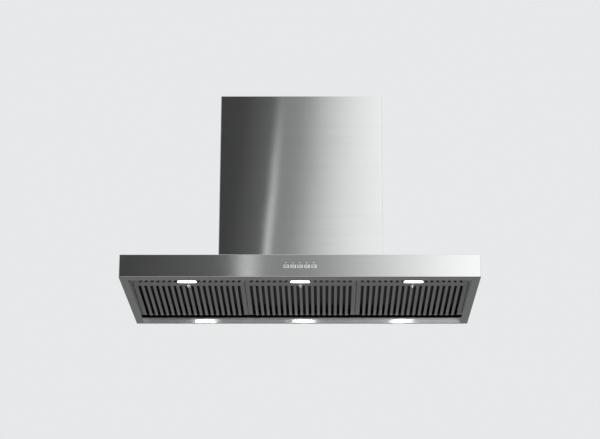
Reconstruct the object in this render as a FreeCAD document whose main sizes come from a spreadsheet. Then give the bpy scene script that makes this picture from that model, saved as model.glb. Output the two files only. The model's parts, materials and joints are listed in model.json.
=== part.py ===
import FreeCAD, Part
import os
import re
import Sketcher

# A wall mount range hood. X runs to the right, Y to the wall, Z up, in millimetres.
# The origin is on the wall face, in the middle, at the height of the bottom rim.

vector = FreeCAD.Vector
doc = FreeCAD.newDocument("wall_hood")
sheet = doc.addObject("Spreadsheet::Sheet", "sizes")
derived = doc.addObject("App::VarSet", "derived")

driving_sizes = [
    # canopy
    ("hood_width", 1200, "canopy from side to side"),
    ("hood_depth", 600, "canopy from the wall to the front"),
    ("canopy_height", 78, "canopy from rim to top"),
    ("hood_height", 732, "rim to the top of the chimney"),
    ("skin", 1.2, "stainless sheet"),
    ("bend_round", 2, "outer radius of a folded edge"),
    ("overrun", 2, "how far a cut passes its wall"),
    ("seat_gap", 0.3, "gap at a seat that is free to move"),
    ("shaft_gap", 0.06, "radial gap of a shaft in its bore"),
    ("side_rail", 27, "width of the side rails seen from below"),
    ("front_rail", 42, "width of the front rail seen from below"),
    ("rail_return", 44, "height of the side rails' inner walls"),
    ("front_return", 6, "height of the front rail's inner wall"),
    ("rear_rail_depth", 11, "rear rail from the wall to its face"),
    ("rear_rail_height", 19.3, "top edge of the rear rail"),
    ("rear_leg_height", 30, "leg of the rear rail on the back panel"),
    ("wall_hole_spread", 760, "wall screws from side to side"),
    ("wall_hole_rise", 28, "wall screws from low to high"),
    ("wall_hole_low", 36, "low wall screws above the rim"),
    ("wall_hole_radius", 4, "wall screw holes"),
    # lamp panel and lamps
    ("lamp_panel_low", 5, "front edge of the lamp panel above the rim"),
    ("lamp_panel_high", 31, "rear edge of the lamp panel above the rim"),
    ("lamp_panel_end", 168, "rear edge of the lamp panel behind the front"),
    ("lamp_panel_upstand", 34, "height of the lamp panel's upstand"),
    ("lamp_seat", 66, "lamp centre up the slope of the panel"),
    ("lamp_length", 68, "lamp lens"),
    ("lamp_breadth", 30, "lamp lens"),
    ("lamp_proud", 3, "lens below its panel"),
    ("lamp_body_height", 14, "lamp housing above its panel"),
    ("lamp_wall", 2, "wall of the lamp housing"),
    ("led_board_thickness", 1.6, "board with the light sources"),
    # filters
    ("filter_gap", 2, "gap from filter to filter"),
    ("filter_side_gap", 1, "gap from filter to side rail"),
    ("filter_front_gap", 3, "gap from filter to lamp panel"),
    ("filter_rear_gap", 41, "gap from filter to rear rail, which the tabs bridge"),
    ("filter_rear_height", 13.6, "rear edge of a filter above the rim"),
    ("filter_height", 25, "filter frame"),
    ("filter_sheet", 1, "sheet of the filter frame and slats"),
    ("front_band", 36, "plain band before the slots"),
    ("rear_band", 19, "plain band behind the slots"),
    ("slot_pitch", 20, "slot to slot"),
    ("slot_width", 10.2, "slot"),
    ("slot_count", 18, "slots in a filter"),
    ("slat_lap", 6, "slat end on the band"),
    ("slat_height", 8, "legs of the lower slats"),
    ("cap_width", 15, "upper slats"),
    ("cap_leg", 7, "legs of the upper slats"),
    ("top_flange", 8, "upper flange of the filter frame"),
    ("tab_inset", 31, "tab centre from the filter's side"),
    ("tab_width", 12, "tab"),
    ("tab_hook_gap", 4, "hook behind the rear rail's edge"),
    ("tab_hook_drop", 4.5, "depth of the hook"),
    # filter latch
    ("latch_inset", 24, "latch behind the filter's front"),
    ("knob_radius", 5.5, "latch knob"),
    ("knob_height", 9, "latch knob"),
    ("stem_radius", 2.5, "latch stem"),
    ("cam_thickness", 1.5, "latch cam"),
    ("cam_half_width", 5, "latch cam"),
    ("cam_reach", 1.4, "cam tip beyond the filter's front"),
    ("cam_window_gap", 2, "window in the front wall beyond the cam's sweep"),
    # buttons
    ("button_pitch", 23, "button to button"),
    ("button_width", 19, "button cap"),
    ("button_height", 12, "button cap"),
    ("button_round", 2, "corners of the cap"),
    ("button_soft", 0.7, "rounding of the cap's front"),
    ("button_centre", 36, "buttons above the rim"),
    ("button_proud", 2.8, "cap before the panel"),
    ("button_travel", 2.5, "stroke of a button"),
    ("button_flange", 1, "flange beyond the cap"),
    ("button_flange_thickness", 1.5, "flange"),
    ("plunger_width", 6, "plunger behind the flange"),
    ("plunger_height", 4, "plunger behind the flange"),
    ("light_centre", 49.6, "indicator lights above the rim"),
    ("light_radius", 1.2, "indicator lights"),
    ("carrier_depth", 20, "button carrier behind the panel"),
    ("carrier_low", 25, "button carrier above the rim"),
    ("carrier_high", 54, "top of the button carrier"),
    ("carrier_margin", 14, "carrier beyond the last button's centre"),
    ("board_thickness", 1.6, "printed boards"),
    ("switch_height", 7.5, "switches on their board"),
    ("switch_width", 6, "switches on their board"),
    # chimney
    ("chimney_width", 570, "chimney from side to side"),
    ("chimney_depth", 380, "chimney from the wall to its front"),
    ("chimney_return", 14, "rear returns of the chimney"),
    ("bracket_sheet", 1.5, "sheet of the brackets"),
    ("bracket_top", 24, "chimney bracket below the chimney's top"),
    ("bracket_height", 36, "chimney bracket"),
    ("bracket_ear", 40, "ears of the chimney bracket"),
    ("bracket_hole_spread", 420, "wall screws of the chimney bracket"),
    ("bracket_hole_radius", 3, "wall screws of the chimney bracket"),
    ("foot_length", 40, "foot brackets along the chimney"),
    ("foot_width", 26, "foot brackets on the canopy"),
    ("foot_height", 30, "foot brackets up the chimney"),
    ("foot_from_wall", 60, "foot brackets from the wall"),
    # blower
    ("box_width", 390, "blower box"),
    ("box_depth", 300, "blower box"),
    ("box_height", 280, "blower box"),
    ("box_from_wall", 40, "blower box from the wall"),
    ("box_flange", 15, "flange of the blower box"),
    ("intake_inset", 24, "intake opening inside the blower box"),
    ("duct_from_wall", 215, "duct centre from the wall"),
    ("scroll_radius", 92, "first quarter of the scroll"),
    ("scroll_step", 8, "growth of the scroll for each quarter"),
    ("scroll_throat", 104, "outlet of the scroll from front to rear"),
    ("scroll_width", 130, "scroll from side to side"),
    ("scroll_sheet", 1, "sheet of the scroll"),
    ("scroll_lift", 125, "impeller axis above the canopy"),
    ("inlet_radius", 62, "inlet holes of the scroll"),
    ("wheel_radius", 80, "impeller"),
    ("wheel_inner_radius", 66, "inner edge of the blades"),
    ("wheel_width", 116, "impeller"),
    ("wheel_ring", 2, "end rings and centre disc"),
    ("blade_count", 32, "blades"),
    ("blade_thickness", 1, "blades"),
    ("blade_lead", 5, "lead of a blade's outer edge"),
    ("hub_radius", 9, "hub"),
    ("hub_length", 16, "hub"),
    ("shaft_radius", 4, "motor shaft"),
    ("motor_radius", 42, "motor"),
    ("motor_length", 92, "motor"),
    ("motor_from_disc", 12, "motor from the centre disc"),
    ("spider_ring", 8, "ring of the motor bracket"),
    ("spider_arm_width", 16, "arms of the motor bracket"),
    ("spider_sheet", 2, "sheet of the motor bracket"),
    ("spider_reach", 78, "arms of the motor bracket"),
    ("spider_hole_reach", 71, "screws of the motor bracket"),
    # outlet collar and damper
    ("collar_radius", 75, "outside of the outlet collar"),
    ("collar_wall", 3, "wall of the collar"),
    ("collar_height", 62, "collar above the blower box"),
    ("collar_base", 3, "base plate of the collar"),
    ("collar_margin", 12, "base plate beyond the collar"),
    ("damper_height", 22, "damper pin above the blower box"),
    ("damper_pin_radius", 2, "damper pin"),
    ("damper_sheet", 1.5, "damper flaps"),
    ("damper_edge_gap", 1.5, "flap to collar"),
    ("knuckle_radius", 3.6, "knuckles of the flaps"),
    ("knuckle_length", 24, "knuckles of the flaps"),
    ("knuckle_start", 6, "nearest knuckle to the middle"),
    ("damper_stop_size", 6, "stops under the flaps"),
    # electrics on the canopy
    ("control_box_width", 60, "control box"),
    ("control_box_length", 180, "control box"),
    ("control_box_height", 34, "control box"),
    ("control_box_wall", 2, "control box"),
    ("control_box_side", 216, "control box from the middle"),
    ("control_box_front", 330, "control box front from the wall"),
    ("board_post", 6, "board above the floor of its box"),
    ("board_inset", 4, "board inside its box"),
    ("gland_radius", 6.5, "thread of the cable gland"),
    ("gland_flange_radius", 11, "head of the cable gland"),
    ("gland_flange_length", 12, "head of the cable gland"),
    ("gland_bore", 4.5, "bore of the cable gland"),
    ("gland_height", 17, "cable gland above the canopy"),
    ("driver_width", 46, "lamp driver"),
    ("driver_length", 100, "lamp driver"),
    ("driver_height", 26, "lamp driver"),
    ("driver_side", 222, "lamp driver from the middle"),
    ("driver_round", 2, "edges of the lamp driver"),
    ("capacitor_radius", 17, "motor capacitor"),
    ("capacitor_height", 70, "motor capacitor"),
    ("capacitor_side", 246, "motor capacitor from the middle"),
    ("capacitor_from_wall", 160, "motor capacitor from the wall"),
    # screws
    ("screw_radius", 2, "screw shanks"),
    ("screw_hole_gap", 0.1, "radial gap of a screw hole"),
    ("head_radius", 4, "screw heads"),
    ("head_height", 2.6, "screw heads"),
    ("screw_length", 9, "screw shanks"),
]

worked_out_sizes = [
    ("half_width", "Float", "hood_width / 2"),
    ("rail_inside", "Float", "half_width - side_rail"),
    ("panel_front", "Float", "front_rail - hood_depth"),
    ("panel_end", "Float", "lamp_panel_end - hood_depth"),
    ("lamp_tilt", "Angle", "atan((lamp_panel_high - lamp_panel_low) / (panel_end - panel_front - skin))"),
    ("panel_lift", "Float", "skin / cos(lamp_tilt)"),
    ("filter_front", "Float", "panel_end + filter_front_gap"),
    ("filter_rear", "Float", "-rear_rail_depth - filter_rear_gap"),
    ("filter_width", "Float", "(2 * rail_inside - 2 * filter_side_gap - 2 * filter_gap) / 3"),
    ("filter_tilt", "Angle", "atan((lamp_panel_high - filter_rear_height) / (filter_rear - filter_front))"),
    ("filter_length", "Float", "(filter_rear - filter_front) / cos(filter_tilt)"),
    ("side_band", "Float", "(filter_width - slot_pitch * (slot_count - 1) - slot_width) / 2"),
    ("hook_rise", "Float", "rear_rail_height + seat_gap - filter_rear_height"),
    ("tab_level", "Float", "hook_rise * cos(filter_tilt) + filter_rear_gap * sin(filter_tilt)"),
    ("tab_edge", "Float", "filter_rear_gap * cos(filter_tilt) - hook_rise * sin(filter_tilt)"),
    ("tab_end", "Float", "tab_edge + skin + tab_hook_gap + filter_sheet"),
    ("cam_tip", "Float", "latch_inset + cam_reach"),
    ("cam_floor", "Float", "filter_sheet + seat_gap"),
    ("flange_front", "Float", "skin + seat_gap"),
    ("board_front", "Float", "skin + carrier_depth"),
    ("plunger_end", "Float", "board_front - switch_height - button_travel - seat_gap"),
    ("carrier_half", "Float", "2 * button_pitch + carrier_margin"),
    ("chimney_inside", "Float", "chimney_width / 2 - skin"),
    ("box_front", "Float", "-box_from_wall - box_depth"),
    ("box_top", "Float", "canopy_height + box_height"),
    ("wheel_y", "Float", "scroll_radius + 3 * scroll_step - scroll_throat / 2 - duct_from_wall"),
    ("wheel_z", "Float", "canopy_height + scroll_lift"),
    ("collar_bore", "Float", "collar_radius - collar_wall"),
    ("damper_level", "Float", "box_top + damper_height"),
    ("flap_radius", "Float", "collar_bore - damper_edge_gap"),
    ("screw_hole", "Float", "screw_radius + screw_hole_gap"),
    ("screw_side", "Float", "box_width / 2 + box_flange / 2"),
    ("screw_back", "Float", "box_flange / 2 - box_from_wall"),
    ("screw_front", "Float", "box_front - box_flange / 2"),
]

driving_names = {alias for alias, size, note in driving_sizes}
worked_out_names = {name for name, kind, rule in worked_out_sizes}


def formula(text):
    """Turn plain names into references to the sheet and the worked-out sizes."""

    def point_to(match):
        word = match.group(0)
        if word in driving_names:
            return "sizes." + word
        if word in worked_out_names:
            return "derived." + word
        return word

    return re.sub(r"[a-z_]+", point_to, str(text))


def fill_sheet():
    for row, (alias, size, note) in enumerate(driving_sizes, start=1):
        sheet.set(f"A{row}", note)
        sheet.set(f"B{row}", str(size))
        sheet.setAlias(f"B{row}", alias)
    doc.recompute()
    for name, kind, rule in worked_out_sizes:
        derived.addProperty("App::Property" + kind, name, "Sizes")
        derived.setExpression(name, formula(rule))
        doc.recompute()


def bind(thing, prop, text):
    thing.setExpression(prop, formula(text))


def value(text):
    found = sheet.evalExpression(formula(text))
    return float(getattr(found, "Value", found))


def new_body(name, loose=False):
    body = doc.addObject("PartDesign::Body", name)
    body.Label = name
    body.AllowCompound = loose
    return body


def place(body, x, y, z, tilt=None):
    """Put a body at a place, leaned about X where it has a tilt."""
    if tilt:
        body.Placement = FreeCAD.Placement(vector(), FreeCAD.Rotation(vector(1, 0, 0), 1))
        bind(body, "Placement.Rotation.Angle", tilt)
    for letter, text in zip("xyz", (x, y, z)):
        bind(body, "Placement.Base." + letter, text)


def origin_feature(body, role):
    return next(item for item in body.Origin.OriginFeatures if item.Role == role)


def new_sketch(body, role, level="0"):
    drawing = body.newObject("Sketcher::SketchObject", body.Name + "_sketch")
    drawing.AttachmentSupport = (origin_feature(body, role), [""])
    drawing.MapMode = "FlatFace"
    bind(drawing, "AttachmentOffset.Base.z", level)
    return drawing


def pin_point(drawing, line, end, across, up):
    """Hold one end of a line, or a circle's centre, at a named place."""
    for kind, text in (("DistanceX", across), ("DistanceY", up)):
        held = drawing.addConstraint(Sketcher.Constraint(kind, -1, 1, line, end, value(text)))
        bind(drawing, f"Constraints[{held}]", text)


def draw_outline(drawing, corners):
    first = drawing.GeometryCount
    spots = [vector(value(across), value(up), 0) for across, up in corners]
    for spot, following in zip(spots, spots[1:] + spots[:1]):
        drawing.addGeometry(Part.LineSegment(spot, following), False)
    count = len(corners)
    for index in range(count):
        end_to_start = (first + index, 2, first + (index + 1) % count, 1)
        drawing.addConstraint(Sketcher.Constraint("Coincident", *end_to_start))
    for index, (across, up) in enumerate(corners):
        pin_point(drawing, first + index, 1, across, up)


def draw_box(drawing, left, right, low, high):
    draw_outline(drawing, [(left, low), (right, low), (right, high), (left, high)])


def draw_circle(drawing, across, up, radius):
    ring = drawing.GeometryCount
    middle = vector(value(across), value(up), 0)
    drawing.addGeometry(Part.Circle(middle, vector(0, 0, 1), value(radius)), False)
    held = drawing.addConstraint(Sketcher.Constraint("Radius", ring, value(radius)))
    bind(drawing, f"Constraints[{held}]", radius)
    pin_point(drawing, ring, 3, across, up)


def pad(body, drawing, length, back=False):
    feature = body.newObject("PartDesign::Pad", body.Name + "_pad")
    feature.Profile = drawing
    feature.Reversed = back
    bind(feature, "Length", length)
    return feature


def pocket(body, drawing, length, along_normal=True):
    feature = body.newObject("PartDesign::Pocket", body.Name + "_pocket")
    feature.Profile = drawing
    feature.Reversed = along_normal
    bind(feature, "Length", length)
    return feature


def block(body, left, right, front, rear, low, high):
    """Add a block between named planes."""
    drawing = new_sketch(body, "XY_Plane", low)
    draw_box(drawing, left, right, front, rear)
    return pad(body, drawing, f"({high}) - ({low})")


def cut_block(body, left, right, front, rear, low, high):
    drawing = new_sketch(body, "XY_Plane", low)
    draw_box(drawing, left, right, front, rear)
    return pocket(body, drawing, f"({high}) - ({low})")


def bar(body, corners, left, right):
    """Add a bar along X with a profile drawn in Y and Z."""
    drawing = new_sketch(body, "YZ_Plane", left)
    draw_outline(drawing, corners)
    return pad(body, drawing, f"({right}) - ({left})")


def disc(body, role, across, up, radius, start, end):
    drawing = new_sketch(body, role, start)
    draw_circle(drawing, across, up, radius)
    return pad(body, drawing, f"({end}) - ({start})")


def drill(body, role, spots, radius, start, end):
    """Cut one row of round holes between two levels of a plane's normal."""
    drawing = new_sketch(body, role, start)
    for across, up in spots:
        draw_circle(drawing, across, up, radius)
    return pocket(body, drawing, f"({end}) - ({start})")


def repeat_along(body, features, role, step, count):
    row = body.newObject("PartDesign::LinearPattern", body.Name + "_row")
    row.Originals = features
    row.Direction = (origin_feature(body, role), [""])
    bind(row, "Length", f"({step}) * ({count} - 1)")
    bind(row, "Occurrences", count)
    body.Tip = row
    return row


def repeat_round(body, features, role, count):
    """Repeat features round one of the body's axes."""
    ring = body.newObject("PartDesign::PolarPattern", body.Name + "_ring")
    ring.Originals = features
    ring.Axis = (origin_feature(body, role), [""])
    ring.Angle = 360
    bind(ring, "Occurrences", count)
    body.Tip = ring
    return ring


def soften(body, kind, size, names):
    """Round or bevel named edges of the body so far."""
    base = body.Tip
    feature = body.newObject("PartDesign::" + kind, body.Name + "_" + kind.lower())
    feature.Base = (base, names)
    bind(feature, "Radius" if kind == "Fillet" else "Size", size)
    doc.recompute()


def round_edges(body, radius, wanted):
    """Round the edges of the body so far whose two ends pass a test."""
    doc.recompute()
    names = []
    for number, edge in enumerate(body.Tip.Shape.Edges, start=1):
        ends = [vertex.Point for vertex in edge.Vertexes]
        if len(ends) == 2 and wanted(*ends):
            names.append(f"Edge{number}")
    soften(body, "Fillet", radius, names)


def soften_rims(body, kind, size, wanted):
    """Round or bevel the full circles of the body so far that pass a test."""
    doc.recompute()
    names = [
        f"Edge{number}"
        for number, edge in enumerate(body.Tip.Shape.Edges, start=1)
        if len(edge.Vertexes) == 1 and wanted(edge)
    ]
    soften(body, kind, size, names)


def near(first, second):
    return abs(first - second) < value("skin") / 10


def runs_along(letter, start, end):
    others = [axis for axis in "xyz" if axis != letter]
    return all(near(getattr(start, axis), getattr(end, axis)) for axis in others)


# Places that two pieces share

button_names = ["off", "low", "medium", "high", "light"]
button_shares = [-2, -1, 0, 1, 2]
filter_sides = [("left", -1), ("centre", 0), ("right", 1)]
side_shares = [-1, 1]
blower_screw_shares = [0.15, 0.5, 0.85]
corner_share = 0.86
rail_screw_shares = [0.3, 0.9]
chip_shares = [-0.3, 0, 0.3]
cam_end_share = 0.6
# along the control board, then width and height of each component
component_shares = [(0.18, 0.5, 0.55), (0.42, 0.3, 0.4), (0.56, 0.3, 0.4), (0.7, 0.3, 0.4), (0.9, 0.5, 0.3)]
component_depth_share = 0.3
spider_turns = [0, 120, 240]


def blower_screw_spots():
    sides = [
        (f"{side} * screw_side", f"box_front + box_depth * {share}")
        for side in side_shares
        for share in blower_screw_shares
    ]
    return sides + [("0", "screw_back"), ("0", "screw_front")]


def collar_screw_spots(middle="duct_from_wall"):
    reach = "(collar_radius + collar_margin / 2)"
    return [
        (f"{side} * {reach} * {corner_share}", f"{row} * {reach} * {corner_share} - ({middle})")
        for side in side_shares
        for row in side_shares
    ]


def chimney_screw_level():
    return "hood_height - bracket_top - bracket_height / 2"


# Canopy

def canopy_shell():
    body = new_body("canopy_shell")
    block(body, "-half_width", "half_width", "-hood_depth", "0", "0", "canopy_height")
    top = value("canopy_height")
    front = -value("hood_depth")

    def folded(start, end):
        upright = runs_along("z", start, end) and near(start.y, front)
        front_edge = runs_along("x", start, end) and near(start.y, front)
        side_edge = runs_along("y", start, end) and near(start.z, top)
        return upright or front_edge or side_edge

    round_edges(body, "bend_round", folded)
    inside = "half_width - skin"
    cut_block(body, f"-({inside})", inside, "skin - hood_depth", "overrun", "skin", "canopy_height - skin")
    mouth = ("-rail_inside", "rail_inside", "panel_front", "overrun")
    cut_block(body, *mouth, "-overrun", "skin + overrun")
    cut_block(body, f"-({inside})", inside, "-skin", "overrun", "-overrun", "skin + overrun")
    left_wall = ("-rail_inside - skin", "-rail_inside")
    right_wall = ("rail_inside", "rail_inside + skin")
    for left, right in (left_wall, right_wall):
        block(body, left, right, "panel_front - skin", "-skin", "0", "rail_return")
    across = ("-rail_inside - skin", "rail_inside + skin")
    block(body, *across, "panel_front - skin", "panel_front", "0", "front_return")
    # intake into the blower box
    intake = "(box_width / 2 - intake_inset)"
    intake_rows = ("box_front + intake_inset", "-box_from_wall - intake_inset")
    above = "canopy_height + overrun"
    cut_block(body, f"-{intake}", intake, *intake_rows, "canopy_height - 2 * skin", above)
    drill(body, "XY_Plane", blower_screw_spots(), "screw_hole", "canopy_height - 2 * skin", above)
    # windows for the buttons and their lights
    drawing = new_sketch(body, "XZ_Plane", "hood_depth - 2 * skin")
    for share in button_shares:
        half = "button_width / 2 + seat_gap"
        rise = "button_height / 2 + seat_gap"
        draw_box(
            drawing,
            f"{share} * button_pitch - ({half})",
            f"{share} * button_pitch + {half}",
            f"button_centre - ({rise})",
            f"button_centre + {rise}",
        )
        draw_circle(drawing, f"{share} * button_pitch", "light_centre", "light_radius")
    pocket(body, drawing, "2 * skin + overrun")
    low = value("button_centre - button_height / 2 - 2 * seat_gap")
    high = value("button_centre + button_height / 2 + 2 * seat_gap")
    reach = value("carrier_half")

    def window_corner(start, end):
        inside_row = low < start.z < high and abs(start.x) < reach
        return runs_along("y", start, end) and inside_row

    round_edges(body, "button_round + seat_gap", window_corner)


def back_panel():
    body = new_body("back_panel")
    inside = "half_width - skin"
    block(body, f"-({inside})", inside, "-skin", "0", "0", "canopy_height - skin")
    spots = [
        (f"{side} * wall_hole_spread / 2", f"wall_hole_low + {row} * wall_hole_rise")
        for side in side_shares
        for row in (0, 1)
    ]
    drill(body, "XZ_Plane", spots, "wall_hole_radius", "-overrun", "skin + overrun")


def rear_rail():
    body = new_body("rear_rail")
    face = "-rear_rail_depth"
    bar(
        body,
        [
            (face, "0"),
            ("-skin", "0"),
            ("-skin", "rear_leg_height"),
            ("-2 * skin", "rear_leg_height"),
            ("-2 * skin", "skin"),
            (face + " + skin", "skin"),
            (face + " + skin", "rear_rail_height"),
            (face, "rear_rail_height"),
        ],
        "-rail_inside",
        "rail_inside",
    )
    spots = [
        (f"{side} * rail_inside * {share}", "-rear_rail_depth / 2")
        for side in side_shares
        for share in rail_screw_shares
    ]
    drill(body, "XY_Plane", spots, "screw_hole", "-overrun", "skin + overrun")


def lamp_sketch(body, level="0"):
    """A sketch on the slope of the lamp panel."""
    drawing = new_sketch(body, "XY_Plane", "0")
    drawing.AttachmentOffset = FreeCAD.Placement(vector(), FreeCAD.Rotation(vector(1, 0, 0), 1))
    bind(drawing, "AttachmentOffset.Rotation.Angle", "lamp_tilt")
    bind(drawing, "AttachmentOffset.Base.y", f"panel_front + skin - ({level}) * sin(lamp_tilt)")
    bind(drawing, "AttachmentOffset.Base.z", f"lamp_panel_low + ({level}) * cos(lamp_tilt)")
    return drawing


def lamp_panel():
    body = new_body("lamp_panel")
    slope = "tan(lamp_tilt)"
    bar(
        body,
        [
            ("panel_front", "skin"),
            ("panel_front + skin", "skin"),
            ("panel_front + skin", "lamp_panel_low"),
            ("panel_end", "lamp_panel_high"),
            ("panel_end", "lamp_panel_high + lamp_panel_upstand"),
            ("panel_end - skin", "lamp_panel_high + lamp_panel_upstand"),
            ("panel_end - skin", f"lamp_panel_high - skin * {slope} + panel_lift"),
            ("panel_front", f"lamp_panel_low - skin * {slope} + panel_lift"),
        ],
        "-rail_inside",
        "rail_inside",
    )
    drawing = lamp_sketch(body, "-overrun")
    for side, share in filter_sides:
        middle = f"{share} * (filter_width + filter_gap)"
        half = "(lamp_length / 2 + seat_gap)"
        rise = "(lamp_breadth / 2 + seat_gap)"
        rows = (f"lamp_seat - {rise}", f"lamp_seat + {rise}")
        draw_box(drawing, f"{middle} - {half}", f"{middle} + {half}", *rows)
    pocket(body, drawing, "skin + 2 * overrun")


def place_on_lamp_slope(body, share):
    middle = f"{share} * (filter_width + filter_gap)"
    place(body, middle, "panel_front + skin", "lamp_panel_low", "lamp_tilt")


def lamp_housing(side, share):
    body = new_body("lamp_housing_" + side)
    place_on_lamp_slope(body, share)
    half = "(lamp_length / 2 + lamp_wall)"
    rise = "(lamp_breadth / 2 + lamp_wall)"
    top = "skin + lamp_body_height"
    block(body, f"-{half}", half, f"lamp_seat - {rise}", f"lamp_seat + {rise}", "skin", top)
    cut_block(
        body,
        "-lamp_length / 2",
        "lamp_length / 2",
        "lamp_seat - lamp_breadth / 2",
        "lamp_seat + lamp_breadth / 2",
        "skin - overrun",
        top + " - lamp_wall",
    )
    spots = [("lamp_length / 4", "lamp_seat")]
    drill(body, "XY_Plane", spots, "screw_radius", top + " - 2 * lamp_wall", top + " + overrun")


def lamp_lens(side, share):
    body = new_body("lamp_lens_" + side)
    place_on_lamp_slope(body, share)
    low = "lamp_seat - lamp_breadth / 2"
    high = "lamp_seat + lamp_breadth / 2"
    block(body, "-lamp_length / 2", "lamp_length / 2", low, high, "-lamp_proud", "skin + lamp_proud")
    bottom = -value("lamp_proud")

    def lowest(start, end):
        return near(start.z, bottom) and near(end.z, bottom)

    round_edges(body, "lamp_proud / 3", lowest)


def led_boards():
    body = new_body("led_boards", loose=True)
    place(body, "0", "panel_front + skin", "lamp_panel_low", "lamp_tilt")
    top = "skin + lamp_body_height - lamp_wall"
    for side, share in filter_sides:
        middle = f"{share} * (filter_width + filter_gap)"
        half = "lamp_length / 2"
        low = "lamp_seat - lamp_breadth / 2"
        high = "lamp_seat + lamp_breadth / 2"
        levels = (f"{top} - led_board_thickness", top)
        block(body, f"{middle} - {half}", f"{middle} + {half}", low, high, *levels)
        chip = "lamp_breadth / 6"
        for place_share in chip_shares:
            spot = f"{middle} + lamp_length * {place_share}"
            block(
                body,
                f"{spot} - {chip}",
                f"{spot} + {chip}",
                f"lamp_seat - {chip}",
                f"lamp_seat + {chip}",
                f"{top} - 2 * led_board_thickness",
                f"{top} - led_board_thickness",
            )


# Filters, each drawn flat with its origin at the middle of its rear bottom edge

def place_filter(body, share):
    middle = f"{share} * (filter_width + filter_gap)"
    place(body, middle, "filter_rear", "filter_rear_height", "-filter_tilt")


def filter_frame(side, share):
    body = new_body("filter_frame_" + side)
    place_filter(body, share)
    half = "filter_width / 2"
    block(body, f"-{half}", half, "-filter_length", "0", "0", "filter_height")
    inner = "(filter_width / 2 - filter_sheet)"
    inner_rows = ("filter_sheet - filter_length", "-filter_sheet")
    cut_block(body, f"-{inner}", inner, *inner_rows, "filter_sheet", "filter_height - filter_sheet")
    mouth = "(filter_width / 2 - side_band)"
    mouth_rows = ("front_band - filter_length", "-rear_band")
    cut_block(body, f"-{mouth}", mouth, *mouth_rows, "-overrun", "2 * filter_sheet")
    flange = "(filter_width / 2 - top_flange)"
    flange_rows = ("top_flange - filter_length", "-top_flange")
    over = "filter_height + overrun"
    cut_block(body, f"-{flange}", flange, *flange_rows, "filter_height - 2 * filter_sheet", over)
    # tabs that hook over the rear rail
    for sign in side_shares:
        middle = f"{sign} * (filter_width / 2 - tab_inset)"
        across = (f"{middle} - tab_width / 2", f"{middle} + tab_width / 2")
        block(body, *across, "-filter_sheet", "tab_end", "tab_level", "tab_level + filter_sheet")
        hook = ("tab_end - filter_sheet", "tab_end")
        block(body, *across, *hook, "tab_level - tab_hook_drop", "tab_level + filter_sheet")
    # bearing of the latch and the window for its cam
    drill(
        body,
        "XY_Plane",
        [("0", "latch_inset - filter_length")],
        "stem_radius + shaft_gap",
        "-overrun",
        "2 * filter_sheet",
    )
    cut_block(
        body,
        "-cam_half_width - cam_window_gap",
        "cam_tip + cam_window_gap",
        "-filter_length - overrun",
        "2 * filter_sheet - filter_length",
        "filter_sheet",
        "cam_floor + cam_thickness + cam_window_gap",
    )


def slat_row(name, share, width, start, end, web, toe, count):
    """A row of folded slats, open on the side of their toes."""
    body = new_body(name, loose=True)
    place_filter(body, share)
    first = f"-slot_pitch * ({count} - 1) / 2"
    left = f"{first} - {width} / 2"
    right = f"{first} + {width} / 2"
    rising = value(toe) > value(web)
    web_levels = (web, f"{web} + filter_sheet") if rising else (f"{web} - filter_sheet", web)
    leg_levels = (web, toe) if rising else (toe, web)
    parts = [
        block(body, left, right, start, end, *web_levels),
        block(body, left, f"{left} + filter_sheet", start, end, *leg_levels),
        block(body, f"{right} - filter_sheet", right, start, end, *leg_levels),
    ]
    repeat_along(body, parts, "X_Axis", "slot_pitch", count)


def lower_slats(side, share):
    start = "front_band - slat_lap - filter_length"
    end = "slat_lap - rear_band"
    width = "(slot_pitch - slot_width)"
    levels = ("filter_sheet", "filter_sheet + slat_height")
    slat_row("lower_slats_" + side, share, width, start, end, *levels, "(slot_count - 1)")


def upper_slats(side, share):
    web = "(filter_height - filter_sheet)"
    slat_row(
        "upper_slats_" + side,
        share,
        "cap_width",
        "filter_sheet - filter_length",
        "-filter_sheet",
        web,
        web + " - cap_leg",
        "slot_count",
    )


def latch_knob(side, share):
    body = new_body("latch_knob_" + side)
    place_filter(body, share)
    spot = ("0", "latch_inset - filter_length")
    disc(body, "XY_Plane", *spot, "knob_radius", "-seat_gap - knob_height", "-seat_gap")
    disc(body, "XY_Plane", *spot, "stem_radius", "-seat_gap", "cam_floor + 2 * cam_thickness")
    head_levels = ("cam_floor + cam_thickness", "cam_floor + 2 * cam_thickness")
    disc(body, "XY_Plane", *spot, "stem_radius + cam_thickness", *head_levels)


def latch_cam(side, share):
    body = new_body("latch_cam_" + side)
    place_filter(body, share)
    middle = "latch_inset - filter_length"
    tip = "-filter_length - cam_reach"
    narrow = f"cam_half_width * {cam_end_share}"
    drawing = new_sketch(body, "XY_Plane", "cam_floor")
    draw_outline(
        drawing,
        [
            (f"-({narrow})", f"{middle} + cam_half_width"),
            ("-cam_half_width", f"{middle} + {narrow}"),
            ("-cam_half_width", f"{middle} - cam_half_width"),
            (f"-({narrow})", tip),
            (narrow, tip),
            ("cam_half_width", f"{middle} - cam_half_width"),
            ("cam_half_width", f"{middle} + {narrow}"),
            (narrow, f"{middle} + cam_half_width"),
        ],
    )
    pad(body, drawing, "cam_thickness")
    levels = ("cam_floor - overrun", "cam_floor + cam_thickness + overrun")
    drill(body, "XY_Plane", [("0", middle)], "stem_radius", *levels)


# Buttons, measured back from the front of the canopy

def behind(distance):
    return f"({distance}) - hood_depth"


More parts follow.
